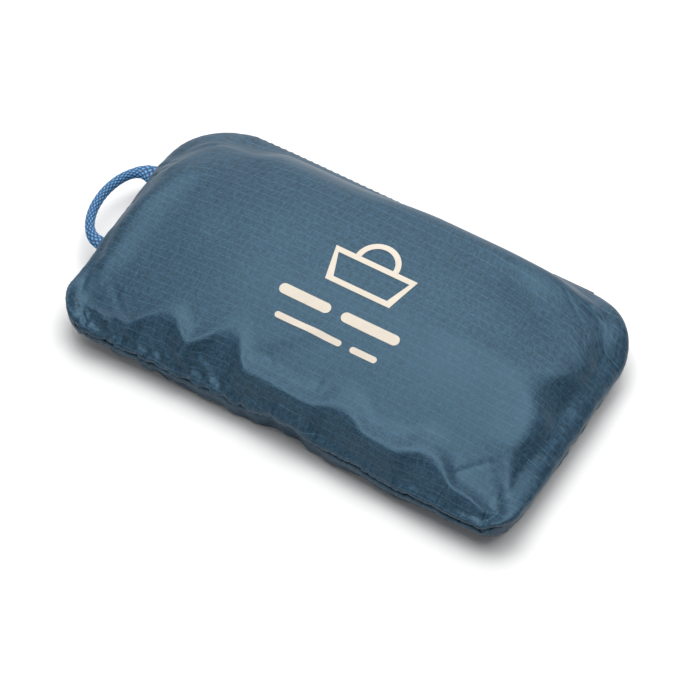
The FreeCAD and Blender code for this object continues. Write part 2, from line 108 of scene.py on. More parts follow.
# dents in the shoulders: place as a share of the half side, and how far the point reaches in
FRONT_DENTS = (
    (-0.88, 6 * MM), (-0.56, 11 * MM), (-0.31, 15 * MM), (0.20, 6 * MM), (0.56, 8 * MM), (0.80, 3 * MM),
)
RIGHT_DENTS = ((-0.50, 6 * MM), (0.05, 9 * MM))
DENT_WIDTH, DENT_ROUNDING = 14 * MM, 2.5 * MM
# how far in from the seam each wall has risen to the face, and how much more over the back's left half
FRONT_REACH, RIGHT_REACH, LEFT_REACH, BACK_REACH = 10.5 * MM, 20 * MM, 14 * MM, 12 * MM
BACK_EXTRA = 8 * MM
WALL_TOP = 0.965  # the walls end at this share of the pouch's height
# how much lower than its middle the face lies along each side, and more at the corners
FRONT_FALL, RIGHT_FALL, LEFT_FALL, BACK_FALL, CORNER_FALL = 9.5 * MM, 6 * MM, 4 * MM, 0.5 * MM, 6 * MM
# soft folds across the face: from x, y and to x, y as shares of the half sides, width and height
FACE_CREASES = (
    (-0.92, -0.33, -0.76, 0.51, 4 * MM, 0.9 * MM),
    (-0.26, -0.62, 0.06, -0.17, 3.5 * MM, 0.5 * MM),
    (-0.61, 0.05, -0.20, 0.08, 7 * MM, -0.7 * MM),
    (0.27, 0.0, 0.69, 0.10, 5 * MM, 0.5 * MM),
    (0.45, 0.62, 0.86, 0.30, 7 * MM, -0.8 * MM),
)
WALL_CURVE = 2.2  # how quickly the walls round over into the face
PLEAT_SLANT = 1.25  # pleats run this far towards -x for each millimetre up from the seam
PLEAT_CREST, PLEAT_BACK = 0.9 * MM, 2.4 * MM  # a pleat's steep side and its gentle side
PANEL_STEPS = (0.7 * MM, 1.2 * MM)  # spacing of the upper and of the lower panel's fine grid
CLOTH_THICKNESS = 0.25 * MM

rng = np.random.default_rng(5)


# --- small mesh helpers ---
def link(name, data):
    obj = bpy.data.objects.new(name, data)
    bpy.context.scene.collection.objects.link(obj)
    return obj


def add_object(name, verts, faces, flat=False):
    mesh = bpy.data.meshes.new(name)
    mesh.from_pydata([tuple(v) for v in np.asarray(verts)], [], [tuple(int(i) for i in f) for f in faces])
    mesh.update()
    if not flat:
        mesh.shade_smooth()
    return link(name, mesh)


def quads(index):
    """Four-sided faces over a grid of point numbers."""
    return np.stack([index[:-1, :-1], index[1:, :-1], index[1:, 1:], index[:-1, 1:]], -1).reshape(-1, 4)


def grid_faces(rows, columns, close_rows=False, flip=False):
    """Faces of a rows x columns grid of points; close_rows joins the last row to the first."""
    index = np.arange(rows * columns).reshape(rows, columns)
    if close_rows:
        index = np.vstack([index, index[:1]])
    return quads(index)[:, ::-1] if flip else quads(index)


def set_uv(obj, uv):
    """One UV per vertex, in metres of cloth."""
    layer = obj.data.uv_layers.new(name="cloth")
    loops = np.zeros(len(obj.data.loops), int)
    obj.data.loops.foreach_get("vertex_index", loops)
    layer.data.foreach_set("uv", np.asarray(uv, float)[loops].ravel())


def thicken(obj, thickness, offset=-1.0):
    modifier = obj.modifiers.new("thickness", "SOLIDIFY")
    modifier.thickness = thickness
    modifier.offset = offset
    return obj


def add_surface(name, points, flip=False):
    """An object from a grid of points."""
    return add_object(name, points.reshape(-1, 3), grid_faces(*points.shape[:2], flip=flip))


def join_parts(name, parts, flat=False):
    """One object from several meshes, each given as its points and faces."""
    faces, start = [], 0
    for points, polygons in parts:
        faces.extend([i + start for i in f] for f in polygons)
        start += len(points)
    return add_object(name, np.concatenate([points for points, _ in parts]), faces, flat)


def finish_piece(obj, slot, *nodes):
    """Gives a piece of the pouch its material and slot, and says which CAD nodes it stands for."""
    obj.data.materials.append(MATERIALS[slot])
    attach(obj, "pouch")
    if nodes:
        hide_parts(*nodes)
    return obj


def bump_curve(x, centre, width):
    return np.exp(-(((x - centre) / width) ** 2))


def smooth(edge0, edge1, x):
    """0 at the first edge, 1 at the second, with a soft start and end."""
    t = np.clip((x - edge0) / (edge1 - edge0), 0, 1)
    return t * t * (3 - 2 * t)


def ripple(x, pitch, seed):
    """A wave of about the given pitch whose spacing and height wander, from -1 to 1."""
    draws = np.random.default_rng(seed)
    total = np.zeros_like(x)
    for _ in range(5):
        stretch = draws.uniform(0.75, 1.35)
        total = total + np.cos(2 * np.pi * x / (pitch * stretch) + draws.uniform(0, 2 * np.pi))
    return total / 2.6


def distance_along(points):
    """How far along a curve each of its points lies."""
    return np.concatenate([[0], np.cumsum(np.linalg.norm(np.diff(points, axis=0), axis=1))])


def read_curve(points, length, at):
    """The curve's points at given distances along it."""
    return np.stack([np.interp(at, length, column) for column in points.T], -1)


def box_grid(low, high, columns, rows):
    """Even places between two corners."""
    x, y = np.linspace(low[0], high[0], columns), np.linspace(low[1], high[1], rows)
    return np.meshgrid(x, y, indexing="ij")


# --- the flat pattern and its simulation ---
def round_corners(x, y, half_x, half_y, radius):
    """Moves the points of a rectangular grid so that its outline has round corners."""
    p = np.clip((abs(x) - (half_x - radius)) / radius, 0, 1)
    q = np.clip((abs(y) - (half_y - radius)) / radius, 0, 1)
    rx = half_x - radius + p * np.sqrt(1 - q * q / 2) * radius
    ry = half_y - radius + q * np.sqrt(1 - p * p / 2) * radius
    return np.sign(x) * np.where(p > 0, rx, abs(x)), np.sign(y) * np.where(q > 0, ry, abs(y))


def edge_distance(x, y):
    """Distance in from the flat panel's outline, and the outward direction at the nearest edge."""
    qx = abs(x) - (FLAT_X - FLAT_RADIUS)
    qy = abs(y) - (FLAT_Y - FLAT_RADIUS)
    ox, oy = np.maximum(qx, 0), np.maximum(qy, 0)
    length = np.hypot(ox, oy)
    inside = np.minimum(np.maximum(qx, qy), 0)
    distance = FLAT_RADIUS - length - inside
    corner = length > 1e-9
    nx = np.where(corner, ox / np.maximum(length, 1e-9), (qx > qy).astype(float)) * np.sign(x)
    ny = np.where(corner, oy / np.maximum(length, 1e-9), (qx <= qy).astype(float)) * np.sign(y)
    return np.maximum(distance, 0), nx, ny


def flat_grid():
    columns = int(round(2 * FLAT_X / SIM_STEP)) + 1
    rows = int(round(2 * FLAT_Y / SIM_STEP)) + 1
    u = np.linspace(-FLAT_X, FLAT_X, columns)
    v = np.linspace(-FLAT_Y, FLAT_Y, rows)
    x, y = np.meshgrid(u, v, indexing="ij")
    return u, v, *round_corners(x, y, FLAT_X, FLAT_Y, FLAT_RADIUS)


def stuffing_height(x, y):
    """Upper face of the folded bag inside: a low crown with broad soft lumps."""
    lumps = np.zeros_like(x)
    for _ in range(14):
        centre_x, centre_y = rng.uniform(-HALF_X, HALF_X), rng.uniform(-HALF_Y, HALF_Y)
        width, lift = rng.uniform(22, 42) * MM, rng.uniform(-1, 1) * 1.7 * MM
        lumps += lift * np.exp(-((x - centre_x) ** 2 + (y - centre_y) ** 2) / (2 * width * width))
    crown = 5 * MM * (x / HALF_X) ** 2 + 6 * MM * (y / HALF_Y) ** 2
    return np.maximum(HEIGHT + 3.5 * MM - crown + lumps, 12 * MM)


def add_collider(name, points):
    obj = add_surface(name, points * SIM_SCALE, flip=True)
    obj.modifiers.new("collision", "COLLISION")
    obj.collision.thickness_outer = 0.5 * MM * SIM_SCALE
    obj.collision.cloth_friction = 5
    return obj


def make_colliders():
    """The floor below, and above it the shape that the stuffing presses the cloth into."""
    count = 61
    far_x, far_y = 1.3 * HALF_X, 1.5 * HALF_Y
    x, y = box_grid((-far_x, -far_y), (far_x, far_y), count, count)
    lid = np.stack([x, y, stuffing_height(x, y)], -1)
    floor = np.stack([x[::-1], y[::-1], 0 * x], -1) * (2, 2, 1)
    return [add_collider("lid", lid), add_collider("ground", floor)]


def inflate():
    """Simulates the two sewn panels and returns the upper and lower sheets as grids of points."""
    u, v, x, y = flat_grid()
    x = x * (1 + SIDE_BOW / 2 * (1 - (y / FLAT_Y) ** 2))
    y = y * (1 + SIDE_BOW * (1 - (x / FLAT_X) ** 2))
    lens = 6 * MM * (1 - (u[:, None] / FLAT_X) ** 4) * (1 - (v[None, :] / FLAT_Y) ** 4)
    upper = np.arange(x.size).reshape(x.shape)
    border = np.ones(x.shape, bool)
    border[1:-1, 1:-1] = False
    lower = upper.copy()
    lower[~border] = x.size + np.arange((~border).sum())
    top = np.stack([x, y, SEAM_Z + lens], -1).reshape(-1, 3)
    bottom = np.stack([x, y, SEAM_Z - lens], -1)[~border]
    faces = np.concatenate([quads(upper), quads(lower)[:, ::-1]])
    cloth = add_object("cloth", np.concatenate([top, bottom]) * SIM_SCALE, faces)
    colliders = make_colliders()
    solve(cloth, upper[border])
    graph = bpy.context.evaluated_depsgraph_get()
    solved = cloth.evaluated_get(graph)
    points = np.zeros(len(solved.data.vertices) * 3)
    solved.data.vertices.foreach_get("co", points)
    points = points.reshape(-1, 3) / SIM_SCALE
    for obj in [cloth] + colliders:
        bpy.data.objects.remove(obj)
    bpy.context.scene.frame_set(1)
    return u, v, points[upper], points[lower]


def solve(cloth, seam_points):
    seam = cloth.vertex_groups.new(name="seam")
    seam.add([int(i) for i in seam_points], 1.0, "REPLACE")
    modifier = cloth.modifiers.new("Cloth", "CLOTH")
    for key, value in CLOTH_SETTINGS.items():
        setattr(modifier.settings, key, value)
    modifier.settings.vertex_group_shrink = "seam"
    modifier.settings.effector_weights.gravity = 0
    modifier.collision_settings.distance_min = 0.5 * MM * SIM_SCALE
    modifier.point_cache.frame_start = 1
    modifier.point_cache.frame_end = SIM_FRAMES + 1
    for number in range(1, SIM_FRAMES + 1):
        bpy.context.scene.frame_set(number)


def fit_to_frame(upper, lower):
    """Moves the solved pouch to the frame and scales its height to the CAD's."""
    both = np.concatenate([upper.reshape(-1, 3), lower.reshape(-1, 3)])
    low, high = both.min(0), both.max(0)
    centre = (low + high) / 2
    sheets = []
    for sheet in (upper, lower):
        z = (sheet[..., 2] - low[2]) * HEIGHT / (high[2] - low[2])
        sheets.append(np.stack([sheet[..., 0] - centre[0], sheet[..., 1] - centre[1], z], -1))
    return sheets


# --- resampling the solved sheets finely ---
def graded(half, step):
    """Positions from -half to half: tight rows beside the seam, then an even step."""
    near = np.array([0, 0.35, 0.7, 1.1, 1.55, 2.1, 2.75, 3.5, 4.35, 5.3]) * MM
    inner = half - near[-1]
    middle = np.linspace(-inner, inner, int(round(2 * inner / step)) + 1)[1:-1]
    return np.concatenate([-half + near, middle, (half - near)[::-1]])


def cubic_weights(positions, at):
    """Rows of Catmull-Rom weights that read values at new places from evenly spaced samples."""
    count = len(positions)
    place = np.clip((at - positions[0]) / (positions[1] - positions[0]), 0, count - 1 - 1e-9)
    cell = place.astype(int)
    t = place - cell
    basis = [
        (-t + 2 * t**2 - t**3) / 2,
        (2 - 5 * t**2 + 3 * t**3) / 2,
        (t + 4 * t**2 - 3 * t**3) / 2,
        (t**3 - t**2) / 2,
    ]
    padded = np.zeros((len(at), count + 2))
    for offset, weight in enumerate(basis):
        padded[np.arange(len(at)), cell + offset] = weight
    # past either end the sheet is carried on in a straight line
    before, after, matrix = padded[:, :1], padded[:, -1:], padded[:, 1:-1]
    matrix[:, :2] += before * (2, -1)
    matrix[:, -2:] += after * (-1, 2)
    return matrix


def normals(points, sign):
    across = np.cross(np.gradient(points, axis=0), np.gradient(points, axis=1)) * sign
    return across / np.maximum(np.linalg.norm(across, axis=-1, keepdims=True), 1e-12)


class Sheet:
    """One panel as a fine grid of points over its flat pattern; side is +1 for the upper panel."""

    def __init__(self, u, v, solved, side, step):
        self.side = side
        self.u, self.v = graded(FLAT_X, step), graded(FLAT_Y, step)
        across, along = cubic_weights(u, self.u), cubic_weights(v, self.v)
        self.points = np.einsum("ai,ijk,bj->abk", across, solved, along)
        grid = np.meshgrid(self.u, self.v, indexing="ij")
        self.x, self.y = round_corners(*grid, FLAT_X, FLAT_Y, FLAT_RADIUS)
        self.depth, self.out_x, self.out_y = edge_distance(self.x, self.y)
        # how much each place belongs to each side, by its nearest edge
        self.front, self.back = np.clip(-self.out_y, 0, 1), np.clip(self.out_y, 0, 1)
        self.left, self.right = np.clip(-self.out_x, 0, 1), np.clip(self.out_x, 0, 1)
        self.run = self.x * (self.front + self.back) + self.y * (self.left + self.right)
        self.radius = corner_radius(self)

    def normal(self):
        return normals(self.points, self.side)

    def at(self, x, y, lift=0.0):
        """Points on the panel's outer face above places on its flat pattern."""
        a = np.interp(x, self.u, np.arange(len(self.u)))
        b = np.interp(y, self.v, np.arange(len(self.v)))
        i = np.minimum(a.astype(int), len(self.u) - 2)
        j = np.minimum(b.astype(int), len(self.v) - 2)
        s, t = (a - i)[..., None], (b - j)[..., None]

        def read(field):
            near = field[i, j] * (1 - s) + field[i + 1, j] * s
            far = field[i, j + 1] * (1 - s) + field[i + 1, j + 1] * s
            return near * (1 - t) + far * t

        return read(self.points) + read(self.normal()) * lift


def pattern_x(sheet, x):
    """Where on the panel's flat pattern the back edge reaches a given place along the pouch."""
    return np.interp(x, sheet.points[:, -1, 0], sheet.u)


# --- sewing details worked into the sheets ---
def zip_share(sheet):
    """1 where the nearest edge is a lip of the zip, 0 elsewhere."""
    along = outline(sheet, 0.0)[..., 0]
    inside = 1 - smooth(ZIP_HALF, ZIP_HALF + 5 * MM, abs(along))
    return inside * smooth(0.2, 0.9, sheet.back)


def edge_shares(sheet):
    """Place along the straight part of the nearest edge, from -1 to 1 each way."""
    edge_x = sheet.x + sheet.out_x * sheet.depth
    edge_y = sheet.y + sheet.out_y * sheet.depth
    return (np.clip(edge_x / (FLAT_X - FLAT_RADIUS), -1, 1),
            np.clip(edge_y / (FLAT_Y - FLAT_RADIUS), -1, 1))


def corner_radius(sheet):
    """The filled pouch's corner radius at every place, blended between its four corners."""
    share_x, share_y = edge_shares(sheet)
    to_right, to_back = smooth(-1, 1, share_x), smooth(-1, 1, share_y)
    front = FRONT_LEFT + (FRONT_RIGHT - FRONT_LEFT) * to_right
    back = BACK_LEFT + (BACK_RIGHT - BACK_LEFT) * to_right
    return front + (back - front) * to_back


def outline(sheet, inset):
    """The filled pouch's edge nearest to every place on the flat panel, drawn in by an inset."""
    share_x, share_y = edge_shares(sheet)
    x = share_x * (HALF_X - sheet.radius) + (sheet.radius - inset) * sheet.out_x
    y = share_y * (HALF_Y - sheet.radius) + (sheet.radius - inset) * sheet.out_y
    drawn_in = FRONT_WAIST * bump_curve(x, -0.35 * HALF_X, 0.65 * HALF_X)
    drawn_in = drawn_in - FRONT_FLARE * smooth(0.2 * HALF_X, 0.85 * HALF_X, x)
    y = y + drawn_in * smooth(0, -HALF_Y, y)
    return np.stack([x, y, seam_height(x, y, sheet)], -1)


def hidden_seam(sheet):
    """1 where the cloth above bulges over the seam: along the right side and at one place in front."""
    return np.maximum(sheet.right**2, sheet.front * bump_curve(sheet.x, 2 * MM, 15 * MM))


def seam_inset(sheet):
    """How far the seam lies inside the pouch's fullest line."""
    return LIP_RADIUS + SEAM_TUCK * hidden_seam(sheet)


def seam_height(x, y, sheet):
    """The seam sags along the front, drops under the right side and is drawn up at the front corners."""
    sag = SEAM_SAG * sheet.front**2 * (1 - (x / HALF_X) ** 4) + SEAM_DROP * sheet.right**4
    wander = (0.8 * ripple(x + y, 34 * MM, 41) + 0.45 * ripple(x + y, 10 * MM, 42)) * MM
    wander = wander * (sheet.front + sheet.right)
    corner = bump_curve(abs(x), HALF_X, 9 * MM) * bump_curve(y, 9 * MM - HALF_Y, 10 * MM)
    return SEAM_Z - sag + wander + 3.5 * MM * corner


def carry_inwards(sheet, move, reach):
    """Spreads a displacement known along the panel's border into the panel, fading with distance."""
    along_x, along_y = sheet.u[:, None], sheet.v[None, :]
    shares = [
        (move[:1, :], along_x + FLAT_X), (move[-1:, :], FLAT_X - along_x),
        (move[:, :1], along_y + FLAT_Y), (move[:, -1:], FLAT_Y - along_y),
    ]
    total, weights = 0.0, 0.0
    for edge, distance in shares:
        weight = ((distance + 0.5 * MM) ** -3.0)[..., None] * np.ones(sheet.x.shape + (1,))
        total = total + weight * edge
        weights = weights + weight
    return total / weights * np.exp(-((sheet.depth / reach) ** 2))[..., None]


def draw_to_outline(sheet):
    """Brings the sheet's border to the pouch's rounded outline."""
    inset = 0.0 if sheet.side > 0 else seam_inset(sheet) - LIP_RADIUS
    move = outline(sheet, inset) - sheet.points
    sheet.points += carry_inwards(sheet, move, 22 * MM)


def fill_shoulders(sheet):
    """Pushes the walls out so that they bulge beyond the seam, most of all round the corners."""
    corner = 4 * (sheet.out_x * sheet.out_y) ** 2
    swell = (0.6 + 0.8 * corner + 1.2 * sheet.right**2) * MM * bump_curve(sheet.depth, 9 * MM, 6 * MM)
    swell = swell * (1 - 0.5 * zip_share(sheet))
    sheet.points[..., 0] += sheet.out_x * swell
    sheet.points[..., 1] += sheet.out_y * swell
    rise = (0.7 + 1.3 * corner) * MM * bump_curve(sheet.depth, 11 * MM, 8 * MM)
    sheet.points[..., 2] += sheet.side * rise * (1 if sheet.side > 0 else 0.3)


def near_corner(sheet):
    """1 over the panel's rounded corners, fading to 0 some way along each side."""
    start_x, start_y = FLAT_X - FLAT_RADIUS, FLAT_Y - FLAT_RADIUS
    fade = 20 * MM
    return smooth(start_x - fade, start_x, abs(sheet.x)) * smooth(start_y - fade, start_y, abs(sheet.y))


def off_diagonal(sheet):
    """1, falling to 0 well inside a corner where two sides are equally near, so that no ridge is left."""
    from_x, from_y = FLAT_X - abs(sheet.x), FLAT_Y - abs(sheet.y)
    ratio = np.minimum(from_x, from_y) / np.maximum(np.maximum(from_x, from_y), MM)
    return 1 - smooth(0.45, 0.95, ratio) * smooth(8 * MM, 19 * MM, sheet.depth)


def face_fall(x, y):
    """How much lower the face lies towards the sides and corners than in the middle."""
    across, along = x / HALF_X, y / HALF_Y
    sides = (FRONT_FALL * smooth(-0.1, 1.0, -along) + BACK_FALL * smooth(0.5, 1.0, along)
             + RIGHT_FALL * smooth(0.4, 1.0, across) + LEFT_FALL * smooth(0.4, 1.0, -across))
    return sides + CORNER_FALL * smooth(0.6, 1.0, abs(across)) * smooth(0.4, 1.0, abs(along))


def lower_face(sheet):
    """Lets the upper panel's face fall towards its sides as the stuffing thins out."""
    if sheet.side < 0:
        return
    share = np.clip((sheet.points[..., 2] - SEAM_Z) / (HEIGHT - SEAM_Z), 0, 1)
    sheet.points[..., 2] -= face_fall(sheet.points[..., 0], sheet.points[..., 1]) * share


def dented(along, half, dents, reach):
    """How far in the shoulder lies: a steady reach, further in at each dent."""
    for share, extra in dents:
        across = np.sqrt((along - share * half) ** 2 + DENT_ROUNDING**2)
        reach = reach + extra * smooth(0, 1, 1.15 * (1 - across / DENT_WIDTH))
    return reach


def wall_profile(reach, rise, depth):
    """Follows a curved wall of given reach and rise; returns how far in and up a length of cloth gets."""
    share = np.linspace(0, 1, 48)
    across = reach[..., None] * share
    up = rise[..., None] * (1 - (1 - share) ** WALL_CURVE)
    steps = np.hypot(np.diff(across, axis=-1), np.diff(up, axis=-1))
    length = np.cumsum(steps, axis=-1)
    before = np.concatenate([np.zeros(length.shape[:-1] + (1,)), length], -1)
    cell = np.minimum((length < depth[..., None]).sum(-1), len(share) - 2)[..., None]
    part = depth[..., None] - np.take_along_axis(before, cell, -1)
    place = share[cell] + np.clip(part / np.take_along_axis(steps, cell, -1), 0, 1) * share[1]
    place = place[..., 0]
    beyond = np.maximum(depth - length[..., -1], 0)
    return reach * place + beyond, rise * (1 - (1 - place) ** WALL_CURVE), length[..., -1]


def shape_walls(sheet):
    """Draws the cloth over the shoulders: curved walls, cut back where nothing fills them."""
    if sheet.side < 0:
        return
    x, y = sheet.x * HALF_X / FLAT_X, sheet.y * HALF_Y / FLAT_Y
    back_reach = BACK_REACH + BACK_EXTRA * (1 - smooth(-0.4 * HALF_X, 0.15 * HALF_X, x))
    reach = (sheet.front**2 * dented(x, HALF_X, FRONT_DENTS, FRONT_REACH) + sheet.back**2 * back_reach
             + sheet.right**2 * dented(y, HALF_Y, RIGHT_DENTS, RIGHT_REACH) + sheet.left**2 * LEFT_REACH)
    base = outline(sheet, 0.0)
    rise = WALL_TOP * HEIGHT - face_fall(x, y) - base[..., 2]
    inwards, up, length = wall_profile(reach, rise, sheet.depth)
    inwards = inwards * (1 + near_corner(sheet) * (sheet.radius / FLAT_RADIUS - 1))
    wall = base + np.stack([-sheet.out_x * inwards, -sheet.out_y * inwards, up], -1)
    end = 1.3 * length
    weight = (1 - 0.5 * sheet.left**2) * (1 - smooth(0.5 * end, end, sheet.depth)) * off_diagonal(sheet)
    sheet.points += (wall - sheet.points) * weight[..., None]


def roll_lips(sheet):
    """Each panel leaves the seam outwards and turns up (or down) over a small radius."""
    share = zip_share(sheet)
    inset = seam_inset(sheet) * (1 - share) + 0.35 * MM * share
    radius = inset if sheet.side > 0 else np.minimum(inset, LIP_RADIUS)
    base = outline(sheet, inset)
    gap = SEAM_GAP + ZIP_SLIT * share
    for y in CORD_Y:
        gap = gap + CORD_GAP * np.exp(-(((base[..., 1] - y) / (5.2 * MM)) ** 4)) * sheet.left**2
    fine = ripple(sheet.run, 3.6 * MM, 21 + sheet.side)
    gap = gap + RAGGED_GAP * np.clip(fine, 0, 1) ** 1.5 * (1 - share) * (0.15 + 0.85 * sheet.front**2)
    turn = np.minimum(sheet.depth / radius, math.pi / 2)
    outwards = radius * np.sin(turn)
    rise = gap + radius * (1 - np.cos(turn)) + np.maximum(sheet.depth - radius * math.pi / 2, 0)
    lip = base + np.stack([sheet.out_x * outwards, sheet.out_y * outwards, sheet.side * rise], -1)
    turned = radius * math.pi / 2
    fade = (8 - 4.5 * sheet.front**2) * MM
    weight = (1 - smooth(turned + 0.5 * MM, turned + fade, sheet.depth))[..., None]
    sheet.points = sheet.points * (1 - weight) + lip * weight


def gather_seam(sheet):
    """Small gathers beside the seam that fade towards the face."""
    near = ripple(sheet.run, 4.4 * MM, 51) * bump_curve(sheet.depth, 3.0 * MM, 2.4 * MM)
    far = ripple(sheet.run, 12 * MM, 52) * bump_curve(sheet.depth, 7 * MM, 5 * MM)
    strength = (1.0 if sheet.side > 0 else 1.4) * (1 - zip_share(sheet)) * (0.15 + 0.85 * sheet.front)
    height = (0.12 * near + 0.30 * far) * MM * strength
    sheet.points += sheet.normal() * height[..., None]


def pleat_front(sheet):
    """Slanting pleats with sharp crests that run up from the front seam, most of them at the left."""
    if sheet.side < 0:
        return
    draws = np.random.default_rng(31)
    height = np.zeros_like(sheet.x)
    place = -0.93 * HALF_X
    while place < 0.95 * HALF_X:
        at_left = 1 - smooth(-0.35 * HALF_X, 0.1 * HALF_X, place)
        reach = draws.uniform(11, 18) * MM * (0.5 + 0.5 * at_left)
        rise = draws.uniform(0.7, 1.4) * MM * (0.3 + 0.7 * at_left)
        across = (sheet.x + PLEAT_SLANT * sheet.depth - place) / math.hypot(1, PLEAT_SLANT)
        width = np.where(across < 0, PLEAT_CREST, PLEAT_BACK)
        fade = smooth(0.2 * MM, 2.2 * MM, sheet.depth) * (1 - smooth(0.5 * reach, reach, sheet.depth))
        height += rise * np.exp(-((across / width) ** 2)) * fade
        place += draws.uniform(5, 11) * MM
    sheet.points += sheet.normal() * (height * sheet.front)[..., None]


def crease_face(sheet):
    """A few long, soft folds across the face: from, to (as shares of the half sides), width and height."""
    if sheet.side < 0:
        return
    x, y = sheet.x / FLAT_X, sheet.y / FLAT_Y
    for x0, y0, x1, y1, width, height in FACE_CREASES:
        length = math.hypot((x1 - x0) * HALF_X, (y1 - y0) * HALF_Y)
        run_x, run_y = (x1 - x0) * HALF_X / length, (y1 - y0) * HALF_Y / length
        dx, dy = (x - x0) * HALF_X, (y - y0) * HALF_Y
        along = (dx * run_x + dy * run_y) / length
        across = (dx * run_y - dy * run_x) / width
        fade = smooth(-0.15, 0.25, along) * (1 - smooth(0.75, 1.15, along))
        sheet.points[..., 2] += height * np.exp(-(across**2)) * fade


def keep_above_floor(sheet):
    rest = 0.15 * MM
    z = sheet.points[..., 2]
    sheet.points[..., 2] = np.where(z < rest, rest + 0.05 * (z - rest), z)


def build_sheets():
    """The upper and lower panels: inflated, resampled finely and worked over."""
    u, v, upper, lower = inflate()
    sheets = []
    for solved, side, step in zip(fit_to_frame(upper, lower), (1, -1), PANEL_STEPS):
        sheet = Sheet(u, v, solved, side, step)
        for work in (draw_to_outline, fill_shoulders, lower_face, shape_walls, roll_lips,
                     gather_seam, pleat_front, crease_face, keep_above_floor):
            work(sheet)
        sheets.append(sheet)
    return sheets


# --- materials ---
class Nodes:
    """Short way to build a material's node tree."""

    def __init__(self, name):
        self.material = bpy.data.materials.new(name)
        self.material.use_nodes = True
        self.tree = self.material.node_tree
        self.shader = self.tree.nodes["Principled BSDF"]

    def add(self, kind, inputs=None, **settings):
        node = self.tree.nodes.new(kind)
        for key, value in settings.items():
            setattr(node, key, value)
        for key, value in (inputs or {}).items():
            self.plug(value, node.inputs[key])
        return node

    def place(self):
        """Position on the object, in metres."""
        return self.add("ShaderNodeTexCoord").outputs["Object"]

    def plug(self, value, socket):
        if isinstance(value, bpy.types.Node):
            value = value.outputs[0]
        if isinstance(value, bpy.types.NodeSocket):
            self.tree.links.new(value, socket)
        else:
            socket.default_value = value

    def math(self, operation, first, second=0.0, third=0.0):
        return self.add("ShaderNodeMath", {0: first, 1: second, 2: third}, operation=operation)

    def noise(self, vector, scale, detail=2.0, rough=0.5):
        inputs = {"Vector": vector, "Scale": scale, "Detail": detail, "Roughness": rough}
        return self.add("ShaderNodeTexNoise", inputs)

    def mix(self, share, first, second):
        node = self.add("ShaderNodeMix", data_type="RGBA")
        colours = [s for s in node.inputs if s.type == "RGBA"]
        self.plug(share, node.inputs[0])
        self.plug(first, colours[0])
        self.plug(second, colours[1])
        return [s for s in node.outputs if s.type == "RGBA"][0]

    def band(self, value, low, high):
        """0 below low, 1 above high, straight between."""
        inputs = {"Value": value, "From Min": low, "From Max": high}
        return self.add("ShaderNodeMapRange", inputs)

    def bump(self, height, distance, strength=1.0, **over):
        """Relief from a height; over names the relief it lies on."""
        inputs = {"Height": height, "Distance": distance, "Strength": strength}
        return self.add("ShaderNodeBump", inputs | over)

    def set(self, **values):
        names = {
            "colour": "Base Color", "rough": "Roughness", "metal": "Metallic", "normal": "Normal",
            "specular": "Specular IOR Level", "specular_tint": "Specular Tint",
            "sheen": "Sheen Weight", "sheen_rough": "Sheen Roughness", "sheen_tint": "Sheen Tint",
        }
        for key, value in values.items():
            self.plug(value, self.shader.inputs[names[key]])
        return self.material


def rgb(red, green, blue):
    return (red, green, blue, 1.0)


def tinted(base, factor, lift=0.0):
    """A colour made brighter or darker."""
    return rgb(*(factor * c + lift for c in base))


def cloth_lines(nodes, coordinate, pitch, width):
    """1 on evenly spaced lines across one axis of the cloth, fading to 0 over the line's width."""
    cell = nodes.math("FRACT", nodes.math("DIVIDE", coordinate, pitch))
    away = nodes.math("MULTIPLY", nodes.math("ABSOLUTE", nodes.math("SUBTRACT", cell, 0.5)), pitch)
    return nodes.add("ShaderNodeMapRange", {"Value": away, "From Min": width, "From Max": width * 0.3})


def ripstop_material(name, base, rough=0.4):
    """Coated ripstop nylon: plain weave, a faint grid of thicker threads, speckle and a satin sheen."""
    nodes = Nodes(name)
    cloth = nodes.add("ShaderNodeUVMap", uv_map="cloth")
    split = nodes.add("ShaderNodeSeparateXYZ", {0: cloth})
    drift = nodes.math("MULTIPLY", nodes.math("SUBTRACT", nodes.noise(cloth, 60, 2), 0.5), 0.5 * MM)
    x = nodes.math("ADD", split.outputs[0], drift)
    y = nodes.math("ADD", split.outputs[1], drift)
    lines = ripstop_lines(nodes, cloth, x, y)
    speckle = thread_speckle(nodes, x, y)
    broad = nodes.noise(cloth, 35, 3)
    shade = nodes.math("MULTIPLY_ADD", speckle, 0.85, nodes.math("MULTIPLY", broad, 0.15))
    weave = nodes.mix(shade, tinted(base, 0.25), tinted(base, 1.8))
    colour = nodes.mix(nodes.math("MULTIPLY", lines, 0.55), weave, tinted(base, 2.6, 0.03))
    relief = nodes.math("MULTIPLY_ADD", lines, 0.7, speckle)
    soft = nodes.bump(nodes.noise(cloth, 140, 4, 0.62), 0.20 * MM, 0.3)
    fine = nodes.bump(relief, 0.05 * MM, 0.6, Normal=soft)
    roughness = nodes.math("MULTIPLY_ADD", speckle, 0.10, rough)
    return nodes.set(colour=colour, rough=roughness, normal=fine, specular=0.45, sheen=0.03,
                     sheen_rough=0.4, sheen_tint=rgb(0.7, 0.85, 1.0), specular_tint=rgb(0.47, 0.78, 1.0))


def ripstop_lines(nodes, cloth, x, y):
    """The grid of doubled threads: stronger along the length, broken up by the weave."""
    across = cloth_lines(nodes, x, RIPSTOP_PITCH, 0.17 * MM)
    along = cloth_lines(nodes, y, RIPSTOP_PITCH, 0.17 * MM)
    broken = nodes.band(nodes.noise(cloth, 700, 3, 0.7), 0.42, 0.58)
    across = nodes.math("MULTIPLY", nodes.math("MULTIPLY", across, broken), 0.45)
    along = nodes.math("MULTIPLY", along, nodes.math("MULTIPLY_ADD", broken, 0.65, 0.35))
    return nodes.math("MAXIMUM", across, along)


